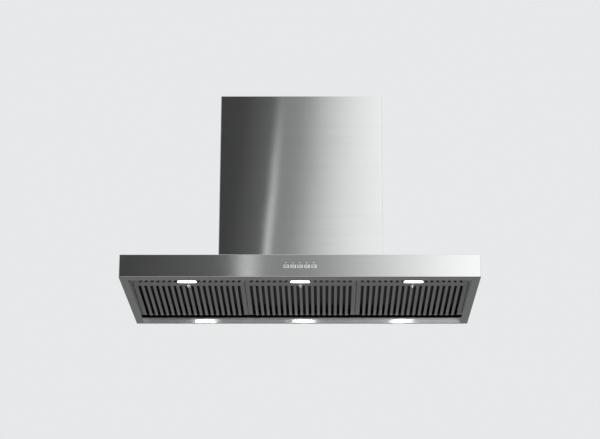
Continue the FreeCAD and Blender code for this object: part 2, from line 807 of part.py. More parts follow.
def push_button(name, share):
    body = new_body("button_" + name)
    place(body, f"{share} * button_pitch", "-hood_depth", "button_centre")
    half = "button_width / 2"
    rise = "button_height / 2"
    block(body, f"-{half}", half, "-button_proud", "flange_front", f"-{rise}", rise)
    front = -value("button_proud")
    round_edges(body, "button_round", lambda start, end: runs_along("y", start, end))

    def foremost(start, end):
        return near(start.y, front) and near(end.y, front)

    round_edges(body, "button_soft", foremost)
    lip = "(button_width / 2 + button_flange)"
    lip_rise = "(button_height / 2 + button_flange)"
    lip_end = "flange_front + button_flange_thickness"
    block(body, f"-{lip}", lip, "flange_front", lip_end, f"-{lip_rise}", lip_rise)
    stem = "plunger_width / 2"
    stem_rise = "plunger_height / 2"
    block(body, f"-{stem}", stem, lip_end, "plunger_end", f"-{stem_rise}", stem_rise)


def button_carrier():
    body = new_body("button_carrier")
    rows = (behind("skin"), behind("board_front"))
    block(body, "-carrier_half", "carrier_half", *rows, "carrier_low", "carrier_high")
    drawing = new_sketch(body, "XZ_Plane", "hood_depth - board_front - overrun")
    for share in button_shares:
        half = "button_width / 2 + button_flange + seat_gap"
        rise = "button_height / 2 + button_flange + seat_gap"
        middle = f"{share} * button_pitch"
        draw_box(
            drawing,
            f"{middle} - ({half})",
            f"{middle} + {half}",
            f"button_centre - ({rise})",
            f"button_centre + {rise}",
        )
        draw_circle(drawing, middle, "light_centre", "light_radius")
    pocket(body, drawing, "carrier_depth + 2 * overrun")


def switch_board():
    body = new_body("switch_board")
    rear = behind("board_front + board_thickness")
    rows = (behind("board_front"), rear)
    block(body, "-carrier_half", "carrier_half", *rows, "carrier_low", "carrier_high")
    for share in button_shares:
        middle = f"{share} * button_pitch"
        half = "switch_width / 2"
        block(
            body,
            f"{middle} - {half}",
            f"{middle} + {half}",
            behind("board_front - switch_height"),
            behind("board_front"),
            f"button_centre - {half}",
            f"button_centre + {half}",
        )
    socket = "carrier_half / 4"
    block(
        body,
        f"-{socket}",
        socket,
        rear,
        behind("board_front + 4 * board_thickness"),
        "carrier_low + board_thickness",
        "button_centre",
    )


def indicator_lights():
    body = new_body("indicator_lights", loose=True)
    for share in button_shares:
        spot = (f"{share} * button_pitch", "light_centre")
        disc(body, "XZ_Plane", *spot, "light_radius", "hood_depth - board_front", "hood_depth")


# Chimney

def chimney_cover():
    body = new_body("chimney_cover")
    drawing = new_sketch(body, "XY_Plane", "canopy_height")
    half = "chimney_width / 2"
    lip = "chimney_width / 2 - chimney_return"
    inside_front = "skin - chimney_depth"
    draw_outline(
        drawing,
        [
            (f"-{half}", "0"),
            (f"-{half}", "-chimney_depth"),
            (half, "-chimney_depth"),
            (half, "0"),
            (lip, "0"),
            (lip, "-skin"),
            ("chimney_inside", "-skin"),
            ("chimney_inside", inside_front),
            ("-chimney_inside", inside_front),
            ("-chimney_inside", "-skin"),
            (f"-({lip})", "-skin"),
            (f"-({lip})", "0"),
        ],
    )
    pad(body, drawing, "hood_height - canopy_height")
    front = -value("chimney_depth")
    edge = value("chimney_width") / 2

    def front_corner(start, end):
        return runs_along("z", start, end) and near(start.y, front) and near(abs(start.x), edge)

    round_edges(body, "bend_round", front_corner)
    start = "-chimney_width / 2 - overrun"
    spots = [("-bracket_ear / 2", chimney_screw_level())]
    drill(body, "YZ_Plane", spots, "screw_hole", start, "chimney_width / 2 + overrun")


def chimney_bracket():
    body = new_body("chimney_bracket")
    drawing = new_sketch(body, "XY_Plane", "hood_height - bracket_top - bracket_height")
    half = "chimney_inside"
    inner = "chimney_inside - bracket_sheet"
    wall = "-skin - seat_gap"
    draw_outline(
        drawing,
        [
            (f"-{half}", "-bracket_ear"),
            (f"-({inner})", "-bracket_ear"),
            (f"-({inner})", f"{wall} - bracket_sheet"),
            (inner, f"{wall} - bracket_sheet"),
            (inner, "-bracket_ear"),
            (half, "-bracket_ear"),
            (half, wall),
            (f"-{half}", wall),
        ],
    )
    pad(body, drawing, "bracket_height")
    # the middle is set back onto the wall between the chimney's returns
    lip = "(chimney_width / 2 - chimney_return - seat_gap)"
    levels = ("hood_height - bracket_top - bracket_height", "hood_height - bracket_top")
    block(body, f"-{lip}", lip, f"{wall} - bracket_sheet", "0", *levels)
    spots = [(f"{side} * bracket_hole_spread / 2", chimney_screw_level()) for side in side_shares]
    drill(body, "XZ_Plane", spots, "bracket_hole_radius", "-overrun", "bracket_ear / 2")
    ear_spots = [("-bracket_ear / 2", chimney_screw_level())]
    drill(body, "YZ_Plane", ear_spots, "screw_hole", "-chimney_width / 2", "chimney_width / 2")


def chimney_foot_brackets():
    body = new_body("chimney_foot_brackets", loose=True)
    rows = ("-foot_from_wall - foot_length", "-foot_from_wall")
    foot_levels = ("canopy_height", "canopy_height + bracket_sheet")
    leg_levels = ("canopy_height", "canopy_height + foot_height")
    block(body, "-chimney_inside", "foot_width - chimney_inside", *rows, *foot_levels)
    block(body, "-chimney_inside", "bracket_sheet - chimney_inside", *rows, *leg_levels)
    block(body, "chimney_inside - foot_width", "chimney_inside", *rows, *foot_levels)
    block(body, "chimney_inside - bracket_sheet", "chimney_inside", *rows, *leg_levels)


# Blower

def blower_box():
    body = new_body("blower_box")
    half = "box_width / 2"
    wide = "(box_width / 2 + box_flange)"
    rows = ("box_front - box_flange", "box_flange - box_from_wall")
    block(body, f"-{wide}", wide, *rows, "canopy_height", "canopy_height + skin")
    block(body, f"-{half}", half, "box_front", "-box_from_wall", "canopy_height", "box_top")
    inner = "(box_width / 2 - skin)"
    inner_rows = ("box_front + skin", "-box_from_wall - skin")
    cut_block(body, f"-{inner}", inner, *inner_rows, "canopy_height - overrun", "box_top - skin")
    outlet = "scroll_width / 2"
    outlet_rows = ("-duct_from_wall - scroll_throat / 2", "scroll_throat / 2 - duct_from_wall")
    cut_block(body, f"-{outlet}", outlet, *outlet_rows, "box_top - 2 * skin", "box_top + overrun")
    flange_levels = ("canopy_height - overrun", "canopy_height + 2 * skin")
    drill(body, "XY_Plane", blower_screw_spots(), "screw_hole", *flange_levels)
    drill(body, "XY_Plane", collar_screw_spots(), "screw_hole", "box_top - 2 * skin", "box_top + overrun")


def scroll_outline(grow, rise):
    """The scroll's outline in Y and Z: three quarter arcs and a straight outlet."""
    step = value("scroll_step")
    centre_y = value("wheel_y")
    centre_z = value("wheel_z")
    top = value("box_top - skin") + rise
    first = value("scroll_radius") + grow
    second = first + step
    third = second + step
    front = centre_y - step - third
    tongue = value("scroll_throat / 2 - duct_from_wall") + grow
    half_turn_share = 0.5 ** 0.5

    def arc(middle_y, middle_z, radius, from_y, from_z, to_y, to_z):
        start = vector(0, middle_y + from_y * radius, middle_z + from_z * radius)
        end = vector(0, middle_y + to_y * radius, middle_z + to_z * radius)
        lean_y = (from_y + to_y) * half_turn_share * radius
        lean_z = (from_z + to_z) * half_turn_share * radius
        between = vector(0, middle_y + lean_y, middle_z + lean_z)
        return Part.Arc(start, between, end).toShape()

    return Part.Face(
        Part.Wire(
            [
                Part.makeLine(vector(0, front, top), vector(0, front, centre_z + step)),
                arc(centre_y - step, centre_z + step, third, -1, 0, 0, -1),
                arc(centre_y - step, centre_z, second, 0, -1, 1, 0),
                arc(centre_y, centre_z, first, 1, 0, 0, 1),
                Part.makeLine(vector(0, centre_y, centre_z + first), vector(0, tongue, centre_z + first)),
                Part.makeLine(vector(0, tongue, centre_z + first), vector(0, tongue, top)),
                Part.makeLine(vector(0, tongue, top), vector(0, front, top)),
            ]
        )
    )


def put_shape(name, shape, x):
    piece = doc.addObject("Part::Feature", name)
    piece.Label = name
    piece.Shape = shape
    piece.Placement = FreeCAD.Placement(vector(x, 0, 0), FreeCAD.Rotation())
    return piece


def scroll():
    width = value("scroll_width")
    wall = value("scroll_sheet")
    outside = scroll_outline(wall, 0)
    inside = scroll_outline(0, value("overrun"))
    wrap = outside.cut(inside).extrude(vector(width, 0, 0))
    put_shape("scroll_wrap", wrap, -width / 2)
    axis = vector(0, value("wheel_y"), value("wheel_z"))
    inlet = Part.makeCylinder(value("inlet_radius"), wall, axis, vector(1, 0, 0))
    holes = [inlet]
    for turn in spider_turns:
        spot = vector(0, 0, value("spider_hole_reach"))
        spot = FreeCAD.Rotation(vector(1, 0, 0), turn).multVec(spot) + axis
        holes.append(Part.makeCylinder(value("screw_hole"), wall, spot, vector(1, 0, 0)))
    plate = outside.extrude(vector(wall, 0, 0)).cut(Part.makeCompound(holes))
    put_shape("scroll_side_left", plate, -width / 2 - wall)
    put_shape("scroll_side_right", outside.extrude(vector(wall, 0, 0)).cut(inlet), width / 2)


def new_wheel_part(name, loose=False):
    body = new_body(name, loose)
    place(body, "0", "wheel_y", "wheel_z")
    return body


def impeller_disc():
    body = new_wheel_part("impeller_disc")
    centre = ("0", "0")
    disc(body, "YZ_Plane", *centre, "wheel_radius", "-wheel_ring / 2", "wheel_ring / 2")
    disc(body, "YZ_Plane", *centre, "hub_radius", "wheel_ring / 2 - hub_length / 2", "hub_length / 2")
    drill(body, "YZ_Plane", [centre], "shaft_radius", "-hub_length", "hub_length")


def impeller_blades(side, start, end):
    """One side's blades, each from the disc to the end ring."""
    body = new_wheel_part("impeller_blades_" + side, loose=True)
    blade = new_sketch(body, "YZ_Plane", start)
    inner = "(wheel_inner_radius + blade_thickness)"
    outer = "(wheel_radius - blade_thickness)"
    draw_outline(
        blade,
        [
            (inner, "0"),
            (outer, "blade_lead"),
            (outer, "blade_lead + blade_thickness"),
            (inner, "blade_thickness"),
        ],
    )
    vane = pad(body, blade, f"({end}) - ({start})")
    repeat_round(body, [vane], "X_Axis", "blade_count")


def impeller_ring(side, start, end):
    body = new_wheel_part("impeller_ring_" + side)
    drawing = new_sketch(body, "YZ_Plane", start)
    draw_circle(drawing, "0", "0", "wheel_radius")
    draw_circle(drawing, "0", "0", "wheel_inner_radius")
    pad(body, drawing, f"({end}) - ({start})")


def impeller():
    half = "wheel_width / 2"
    impeller_disc()
    impeller_blades("left", f"wheel_ring - {half}", "-wheel_ring / 2")
    impeller_blades("right", "wheel_ring / 2", f"{half} - wheel_ring")
    impeller_ring("left", f"-{half}", f"wheel_ring - {half}")
    impeller_ring("right", f"{half} - wheel_ring", half)


def motor_shaft():
    shaft = doc.addObject("Part::Cylinder", "motor_shaft")
    shaft.Label = "motor_shaft"
    bind(shaft, "Radius", "shaft_radius")
    bind(shaft, "Height", "motor_length + motor_from_disc + hub_length / 2 - knuckle_start")
    shaft.Placement = FreeCAD.Placement(vector(), FreeCAD.Rotation(vector(0, 1, 0), 90))
    bind(shaft, "Placement.Base.x", "knuckle_start - motor_length - motor_from_disc")
    bind(shaft, "Placement.Base.y", "wheel_y")
    bind(shaft, "Placement.Base.z", "wheel_z")


def motor():
    body = new_body("motor")
    place(body, "0", "wheel_y", "wheel_z")
    rear = "-motor_from_disc - motor_length"
    disc(body, "YZ_Plane", "0", "0", "motor_radius", rear, "-motor_from_disc")
    radius = value("motor_radius")
    soften_rims(body, "Chamfer", "bend_round", lambda edge: near(edge.Curve.Radius, radius))
    bore_start = "knuckle_start - motor_length - motor_from_disc - seat_gap"
    drill(body, "YZ_Plane", [("0", "0")], "shaft_radius + shaft_gap", bore_start, "0")


def motor_bracket():
    body = new_body("motor_bracket")
    place(body, "0", "wheel_y", "wheel_z")
    outer = "(-scroll_width / 2 - scroll_sheet)"
    start = f"{outer} - spider_sheet"
    disc(body, "YZ_Plane", "0", "0", "motor_radius + spider_ring", start, outer)
    drawing = new_sketch(body, "YZ_Plane", start)
    half = "spider_arm_width / 2"
    draw_box(drawing, f"-{half}", half, "motor_radius + spider_ring / 2", "spider_reach")
    arm = pad(body, drawing, "spider_sheet")
    through = (f"{start} - overrun", f"{outer} + overrun")
    hole = drill(body, "YZ_Plane", [("0", "spider_hole_reach")], "screw_hole", *through)
    repeat_round(body, [arm, hole], "X_Axis", "3")
    drill(body, "YZ_Plane", [("0", "0")], "motor_radius", *through)


# Outlet collar and damper, with the origin of each at the middle of the damper pin

def place_damper(body):
    place(body, "0", "-duct_from_wall", "damper_level")


def duct_collar():
    body = new_body("duct_collar")
    place_damper(body)
    side = "collar_radius + collar_margin"
    foot = "-damper_height"
    block(body, f"-({side})", side, f"-({side})", side, foot, f"{foot} + collar_base")
    disc(body, "XY_Plane", "0", "0", "collar_radius", foot, f"{foot} + collar_height")
    through = (f"{foot} - overrun", f"{foot} + collar_height + overrun")
    drill(body, "XY_Plane", [("0", "0")], "collar_bore", *through)
    seat = "-damper_sheet / 2 - seat_gap"
    levels = (f"{seat} - damper_stop_size", seat)
    in_wall = "collar_bore + collar_wall / 2"
    in_bore = "collar_bore - damper_stop_size"
    for left, right in ((f"-({in_wall})", f"-({in_bore})"), (in_bore, in_wall)):
        block(body, left, right, "-damper_stop_size", "damper_stop_size", *levels)
    pin_hole = ("-collar_radius - overrun", "collar_radius + overrun")
    drill(body, "XZ_Plane", [("0", "0")], "damper_pin_radius", *pin_hole)
    base_levels = (f"{foot} - overrun", f"{foot} + collar_base + overrun")
    drill(body, "XY_Plane", collar_screw_spots("0"), "screw_hole", *base_levels)


def damper_pin():
    pin = doc.addObject("Part::Cylinder", "damper_pin")
    pin.Label = "damper_pin"
    bind(pin, "Radius", "damper_pin_radius")
    bind(pin, "Height", "2 * collar_radius - collar_wall / 2")
    pin.Placement = FreeCAD.Placement(vector(), FreeCAD.Rotation(vector(1, 0, 0), -90))
    bind(pin, "Placement.Base.y", "collar_wall / 4 - collar_radius - duct_from_wall")
    bind(pin, "Placement.Base.z", "damper_level")


def damper_flap(side, sign):
    body = new_body("damper_flap_" + side)
    place_damper(body)
    half = "damper_sheet / 2"
    disc(body, "XY_Plane", "0", "0", "flap_radius", f"-{half}", half)
    hinge_line = "knuckle_radius + damper_edge_gap / 2"
    far = "flap_radius + overrun"
    across = (f"-({hinge_line})", far) if sign < 0 else (f"-({far})", hinge_line)
    cut_block(body, *across, f"-({far})", far, f"-{half} - overrun", f"{half} + overrun")
    own_starts = ["knuckle_start", "-2 * knuckle_start - 2 * knuckle_length"]
    if sign > 0:
        own_starts = ["-knuckle_start - knuckle_length", "2 * knuckle_start + knuckle_length"]
    for start in own_starts:
        end = f"{start} + knuckle_length"
        web = (f"-({hinge_line}) - overrun", "0") if sign < 0 else ("0", f"{hinge_line} + overrun")
        block(body, *web, start, end, f"-{half}", half)
        disc(body, "XZ_Plane", "0", "0", "knuckle_radius", f"-({end})", f"-({start})")
    drill(body, "XZ_Plane", [("0", "0")], "damper_pin_radius + shaft_gap", f"-({far})", far)


# Electrics on top of the canopy

def control_box():
    body = new_body("control_box")
    left = "(-control_box_side - control_box_width)"
    right = "-control_box_side"
    rear = "(control_box_length - control_box_front)"
    top = "canopy_height + control_box_height"
    wall = "control_box_wall"
    block(body, left, right, "-control_box_front", rear, "canopy_height", top)
    inner = (f"{left} + {wall}", f"{right} - {wall}")
    inner_rows = (f"-control_box_front + {wall}", f"{rear} - {wall}")
    cut_block(body, *inner, *inner_rows, f"canopy_height + {wall}", f"{top} + overrun")
    board_level = f"canopy_height + {wall} + board_post"
    post = "board_post / 2"
    for across in (f"{left} + 3 * {wall} + {post}", f"{right} - 3 * {wall} - {post}"):
        for along in (f"-control_box_front + 3 * {wall} + {post}", f"{rear} - 3 * {wall} - {post}"):
            disc(body, "XY_Plane", across, along, post, "canopy_height", board_level)
    middle = f"{left} + control_box_width / 2"
    spots = [(middle, "canopy_height + gland_height")]
    drill(body, "XZ_Plane", spots, "gland_radius", f"-{rear} - overrun", f"-{rear} + 2 * {wall}")


def control_board():
    body = new_body("control_board")
    left = "(-control_box_side - control_box_width + control_box_wall + board_inset / 4)"
    right = "(-control_box_side - control_box_wall - board_inset / 4)"
    front = "(board_inset / 4 + control_box_wall - control_box_front)"
    rear = "(control_box_length - control_box_front - control_box_wall - 4 * board_inset)"
    low = "(canopy_height + control_box_wall + board_post)"
    top = "(canopy_height + control_box_wall + board_post + board_thickness)"
    block(body, left, right, front, rear, low, top)
    middle = "(-control_box_side - control_box_width / 2)"
    span = "control_box_width"
    for along_share, size_share, height_share in component_shares:
        row = f"({front} + ({rear} - {front}) * {along_share})"
        half = f"{span} * {size_share} / 2"
        deep = f"{span} * {component_depth_share} / 2"
        block(
            body,
            f"{middle} - {half}",
            f"{middle} + {half}",
            f"{row} - {deep} / 2",
            f"{row} + {deep} / 2",
            top,
            f"{top} + control_box_height * {height_share}",
        )


def control_box_cover():
    body = new_body("control_box_cover")
    left = "(-control_box_side - control_box_width)"
    rear = "(control_box_length - control_box_front)"
    top = "canopy_height + control_box_height"
    block(body, left, "-control_box_side", "-control_box_front", rear, top, f"{top} + control_box_wall")
    cover_top = value(f"{top} + control_box_wall")

    def uppermost(start, end):
        return near(start.z, cover_top) and near(end.z, cover_top)

    round_edges(body, "control_box_wall / 2", uppermost)


def cable_gland():
    body = new_body("cable_gland")
    rear = "(control_box_length - control_box_front)"
    place(body, "-control_box_side - control_box_width / 2", rear, "canopy_height + gland_height")
    disc(body, "XZ_Plane", "0", "0", "gland_radius", "0", "2 * control_box_wall")
    nut = ("control_box_wall", "3 * control_box_wall")
    disc(body, "XZ_Plane", "0", "0", "gland_radius + control_box_wall", *nut)
    disc(body, "XZ_Plane", "0", "0", "gland_flange_radius", "-gland_flange_length", "0")
    through = ("-gland_flange_length - overrun", "3 * control_box_wall + overrun")
    drill(body, "XZ_Plane", [("0", "0")], "gland_bore", *through)


def led_driver():
    body = new_body("led_driver")
    right = "driver_side + driver_width"
    rear = "driver_length - control_box_front"
    top = "canopy_height + driver_height"
    block(body, "driver_side", right, "-control_box_front", rear, "canopy_height", top)
    driver_top = value(top)

    def uppermost(start, end):
        return near(start.z, driver_top) and near(end.z, driver_top)

    round_edges(body, "driver_round", uppermost)
    ear = "driver_length / 10"
    ear_rows = ("driver_side + driver_width / 4", "driver_side + driver_width * 3 / 4")
    ear_levels = ("canopy_height", "canopy_height + control_box_wall")
    block(body, *ear_rows, f"-control_box_front - {ear}", "-control_box_front", *ear_levels)
    block(body, *ear_rows, rear, f"{rear} + {ear}", *ear_levels)


def motor_capacitor():
    body = new_body("motor_capacitor")
    place(body, "capacitor_side", "-capacitor_from_wall", "canopy_height")
    disc(body, "XY_Plane", "0", "0", "capacitor_radius", "0", "capacitor_height")
    top = value("capacitor_height")
    soften_rims(body, "Fillet", "bend_round", lambda edge: near(edge.CenterOfMass.z, top))
    pin = "capacitor_radius / 8"
    for share in side_shares:
        spot = f"{share} * capacitor_radius / 3"
        levels = ("capacitor_height - overrun", "capacitor_height + 4 * overrun")
        block(body, f"{spot} - {pin}", f"{spot} + {pin}", f"-{pin}", pin, *levels)


# Screws

def screw(name, x, y, z, axis, angle):
    """A hexagon screw whose head starts at its place and points along its turned Z."""
    head = doc.addObject("Part::Prism", name + "_head")
    head.Polygon = 6
    bind(head, "Circumradius", "head_radius")
    bind(head, "Height", "head_height")
    shank = doc.addObject("Part::Cylinder", name + "_shank")
    bind(shank, "Radius", "screw_radius")
    bind(shank, "Height", "screw_length + head_height / 2")
    bind(shank, "Placement.Base.z", "-screw_length")
    whole = doc.addObject("Part::Fuse", name)
    whole.Base = head
    whole.Tool = shank
    whole.Placement = FreeCAD.Placement(vector(), FreeCAD.Rotation(axis, angle))
    for letter, text in zip("xyz", (x, y, z)):
        bind(whole, "Placement.Base." + letter, text)
    return whole


def screws():
    """The screws are all alike, so they share one node."""
    up = (vector(0, 0, 1), 0)
    to_left = (vector(0, 1, 0), -90)
    to_right = (vector(0, 1, 0), 90)
    members = [
        screw(f"blower_screw_{number}", *spot, "canopy_height + skin", *up)
        for number, spot in enumerate(blower_screw_spots(), start=1)
    ]
    members += [
        screw(f"collar_screw_{number}", *spot, "box_top + collar_base", *up)
        for number, spot in enumerate(collar_screw_spots(), start=1)
    ]
    face = "-scroll_width / 2 - scroll_sheet - spider_sheet"
    for turn in spider_turns:
        across = f"wheel_y - spider_hole_reach * sin({turn})"
        up_from = f"wheel_z + spider_hole_reach * cos({turn})"
        members.append(screw(f"bracket_screw_{turn}", face, across, up_from, *to_left))
    ear = ("-bracket_ear / 2", chimney_screw_level())
    members.append(screw("chimney_screw_left", "-chimney_width / 2", *ear, *to_left))
    members.append(screw("chimney_screw_right", "chimney_width / 2", *ear, *to_right))
    group = doc.addObject("Part::Compound", "hexagon_screws")
    group.Label = "hexagon_screws"
    group.Links = members


def build():
    fill_sheet()
    canopy_shell()
    back_panel()
    rear_rail()
    lamp_panel()
    for side, share in filter_sides:
        lamp_housing(side, share)
        lamp_lens(side, share)
    led_boards()
    for side, share in filter_sides:
        filter_frame(side, share)
        lower_slats(side, share)
        upper_slats(side, share)
        latch_knob(side, share)
        latch_cam(side, share)
    for name, share in zip(button_names, button_shares):
        push_button(name, share)
    button_carrier()
    switch_board()
    indicator_lights()
    chimney_cover()
    chimney_bracket()
    chimney_foot_brackets()
    blower_box()
    scroll()
    impeller()
    motor_shaft()
    motor()
    motor_bracket()
    duct_collar()
    damper_pin()
    damper_flap("left", -1)
    damper_flap("right", 1)
    control_box()
    control_board()
    control_box_cover()
    cable_gland()
    led_driver()
    motor_capacitor()
    screws()
    doc.recompute()


def sub_parts():
    """Every object that is a piece: not a feature or a member of another piece."""
    kinds = ("PartDesign::Body", "Part::Compound", "Part::Feature")
    singles = ("motor_shaft", "damper_pin")
    return [item for item in doc.Objects if item.TypeId in kinds or item.Name in singles]


def check_model(pieces):
    for item in doc.Objects:
        if "Invalid" in item.State or "Error" in item.State:
            raise RuntimeError(f"{item.Name} failed: {item.State}")
    for piece in pieces:
        if piece.Shape.isNull() or not piece.Shape.isValid() or not piece.Shape.Solids:
            raise RuntimeError(f"{piece.Label} has no valid solid")


def write_parts(pieces):
    os.makedirs("parts", exist_ok=True)
    for piece in pieces:
        piece.Shape.exportStep(f"parts/{piece.Label}.step")


build()
pieces = sub_parts()
check_model(pieces)
write_parts(pieces)
print(len(pieces), "pieces,", sum(len(piece.Shape.Solids) for piece in pieces), "solids")
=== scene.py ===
import json
import math

import bmesh
import bpy
from mathutils import Matrix

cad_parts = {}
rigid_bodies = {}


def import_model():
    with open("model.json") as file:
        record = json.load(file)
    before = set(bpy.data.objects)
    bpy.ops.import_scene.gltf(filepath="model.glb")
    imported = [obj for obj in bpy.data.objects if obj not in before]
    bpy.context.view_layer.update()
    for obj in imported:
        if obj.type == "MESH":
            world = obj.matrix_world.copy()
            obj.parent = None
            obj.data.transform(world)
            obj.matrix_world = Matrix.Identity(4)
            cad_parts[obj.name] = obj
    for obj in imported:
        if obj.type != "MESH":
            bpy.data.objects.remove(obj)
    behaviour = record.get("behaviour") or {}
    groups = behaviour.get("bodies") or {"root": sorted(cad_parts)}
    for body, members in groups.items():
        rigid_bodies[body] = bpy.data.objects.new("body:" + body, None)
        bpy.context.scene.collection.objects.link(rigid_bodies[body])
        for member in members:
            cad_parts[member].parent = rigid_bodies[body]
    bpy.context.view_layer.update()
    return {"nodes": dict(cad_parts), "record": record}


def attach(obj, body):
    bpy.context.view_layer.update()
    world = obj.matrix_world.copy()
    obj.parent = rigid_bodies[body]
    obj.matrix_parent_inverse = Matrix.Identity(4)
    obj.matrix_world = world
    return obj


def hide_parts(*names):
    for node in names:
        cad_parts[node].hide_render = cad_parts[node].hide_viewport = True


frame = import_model()
nodes = frame["nodes"]
# the X of each filter, with its lamp and latch
bays = {"left": -0.382, "centre": 0, "right": 0.382}
print("frame loaded:", len(nodes), "nodes")

cameraSet = {
    "place": (0.0848, -6.2, -1.652),
    "tilt": 16.352,  # degrees up from level
    "lens": 105.86,
    "shiftX": -0.0423,
    "shiftY": 0.10,
    "sensor": 36,
}


def placeCamera():
    data = bpy.data.cameras.new("photoCamera")
    data.lens = cameraSet["lens"]
    data.sensor_width = cameraSet["sensor"]
    data.shift_x = cameraSet["shiftX"]
    data.shift_y = cameraSet["shiftY"]
    camera = bpy.data.objects.new("photoCamera", data)
    camera.location = cameraSet["place"]
    camera.rotation_euler = (math.radians(90 + cameraSet["tilt"]), 0, 0)
    bpy.context.scene.collection.objects.link(camera)
    bpy.context.scene.camera = camera
    bpy.context.scene.view_settings.view_transform = "Standard"


placeCamera()
print("camera placed")


def addNode(tree, kind, **settings):
    node = tree.nodes.new(kind)
    for name, value in settings.items():
        setattr(node, name, value)
    return node


def calculate(tree, operation, *values):
    node = addNode(tree, "ShaderNodeMath", operation=operation)
    for socket, value in zip(node.inputs, values):
        if isinstance(value, (int, float)):
            socket.default_value = value
        else:
            tree.links.new(value, socket)
    return node.outputs[0]


def newGroup(name, inputs, outputs):
    group = bpy.data.node_groups.new(name, "ShaderNodeTree")
    newSocket = group.interface.new_socket
    for label, kind, value in inputs:
        socket = newSocket(name=label, in_out="INPUT", socket_type="NodeSocket" + kind)
        socket.default_value = value
    for label, kind in outputs:
        newSocket(name=label, in_out="OUTPUT", socket_type="NodeSocket" + kind)
    return group, addNode(group, "NodeGroupInput").outputs, addNode(group, "NodeGroupOutput").inputs


def placeGroup(tree, group, values):
    node = addNode(tree, "ShaderNodeGroup", node_tree=group)
    for label, value in values.items():
        node.inputs[label].default_value = value
    return node.outputs


def shiftValue(group, colour, swing):
    # lightens or darkens a colour by a swing round zero
    tint = addNode(group, "ShaderNodeHueSaturation")
    group.links.new(colour, tint.inputs["Color"])
    group.links.new(calculate(group, "ADD", swing, 1), tint.inputs["Value"])
    return tint.outputs[0]


effectOutputs = [("colour", "Color"), ("roughness", "Float"), ("height", "Float")]
noiseScale = {"dents": 5, "cloud": 40}


def makeBrushed():
    # fine parallel lines of a brushed sheet, with broader soft streaks along them
    group, given, out = newGroup(
        "brushedGrain",
        [
            ("lineScale", "Vector", (3, 3, 900)),
            ("streakScale", "Vector", (0.7, 0.7, 60)),
            ("colour", "Color", (0.6, 0.6, 0.6, 1)),
            ("colourSwing", "Float", 0.06),
            ("roughness", "Float", 0.25),
            ("roughnessSwing", "Float", 0.06),
            ("lineDepth", "Float", 0.00001),
        ],
        effectOutputs,
    )
    spot = addNode(group, "ShaderNodeTexCoord").outputs["Object"]
    patterns = []
    for scale, detail in (("lineScale", 3), ("streakScale", 4)):
        stretch = addNode(group, "ShaderNodeVectorMath", operation="MULTIPLY")
        group.links.new(spot, stretch.inputs[0])
        group.links.new(given[scale], stretch.inputs[1])
        noise = addNode(group, "ShaderNodeTexNoise")
        noise.inputs["Scale"].default_value = 1
        noise.inputs["Detail"].default_value = detail
        group.links.new(stretch.outputs[0], noise.inputs["Vector"])
        patterns.append(noise.outputs[0])
    both = calculate(group, "ADD", *patterns)
    swing = calculate(group, "SUBTRACT", both, 1)
    lighter = calculate(group, "MULTIPLY", swing, given["colourSwing"])
    group.links.new(shiftValue(group, given["colour"], lighter), out["colour"])
    duller = calculate(group, "MULTIPLY_ADD", swing, given["roughnessSwing"], given["roughness"])
    group.links.new(duller, out["roughness"])
    group.links.new(calculate(group, "MULTIPLY", patterns[0], given["lineDepth"]), out["height"])
    return group


def makeSheetBow():
    # how far a wide thin sheet stands from flat: it leans, bows, cups and twists
    labels = ("lean", "bow", "cup", "twist", "skew", "rise", "dents")
    inputs = [(label, "Float", 0) for label in labels]
    group, given, out = newGroup("sheetBow", inputs, [("height", "Float")])
    spot = addNode(group, "ShaderNodeTexCoord").outputs["Object"]
    split = addNode(group, "ShaderNodeSeparateXYZ")
    group.links.new(spot, split.inputs[0])
    across, up = split.outputs["X"], split.outputs["Z"]
    cup = calculate(group, "MULTIPLY", across, given["cup"])
    cupped = calculate(group, "MULTIPLY", cup, -1 / 3)
    bend = calculate(group, "MULTIPLY_ADD", up, given["skew"], given["bow"])
    bowed = calculate(group, "MULTIPLY_ADD", bend, -0.5, cupped)
    curved = calculate(group, "MULTIPLY", bowed, across)
    leaning = calculate(group, "SUBTRACT", curved, given["lean"])
    twist = calculate(group, "MULTIPLY", given["twist"], up)
    twisted = calculate(group, "SUBTRACT", leaning, twist)
    noise = addNode(group, "ShaderNodeTexNoise")
    noise.inputs["Scale"].default_value = noiseScale["dents"]
    noise.inputs["Detail"].default_value = 1
    group.links.new(spot, noise.inputs["Vector"])
    raised = calculate(group, "MULTIPLY", up, given["rise"])
    dented = calculate(group, "MULTIPLY_ADD", noise.outputs[0], given["dents"], raised)
    group.links.new(calculate(group, "MULTIPLY_ADD", twisted, across, dented), out["height"])
    return group


def makeSpangle():
    # zinc crystals of a galvanised sheet
    group, given, out = newGroup(
        "zincSpangle",
        [
            ("crystals", "Float", 110),
            ("colour", "Color", (0.6, 0.6, 0.6, 1)),
            ("colourSwing", "Float", 0.18),
            ("roughness", "Float", 0.4),
            ("roughnessSwing", "Float", 0.16),
            ("depth", "Float", 0.00003),
        ],
        effectOutputs,
    )
    spot = addNode(group, "ShaderNodeTexCoord").outputs["Object"]
    cells = addNode(group, "ShaderNodeTexVoronoi")
    group.links.new(spot, cells.inputs["Vector"])
    group.links.new(given["crystals"], cells.inputs["Scale"])
    split = addNode(group, "ShaderNodeSeparateColor")
    group.links.new(cells.outputs["Color"], split.inputs[0])
    shade = calculate(group, "SUBTRACT", split.outputs[0], 0.5)
    lighter = calculate(group, "MULTIPLY", shade, given["colourSwing"])
    group.links.new(shiftValue(group, given["colour"], lighter), out["colour"])
    gloss = calculate(group, "SUBTRACT", split.outputs[1], 0.5)
    duller = calculate(group, "MULTIPLY_ADD", gloss, given["roughnessSwing"], given["roughness"])
    group.links.new(duller, out["roughness"])
    group.links.new(calculate(group, "MULTIPLY", split.outputs[2], given["depth"]), out["height"])
    return group


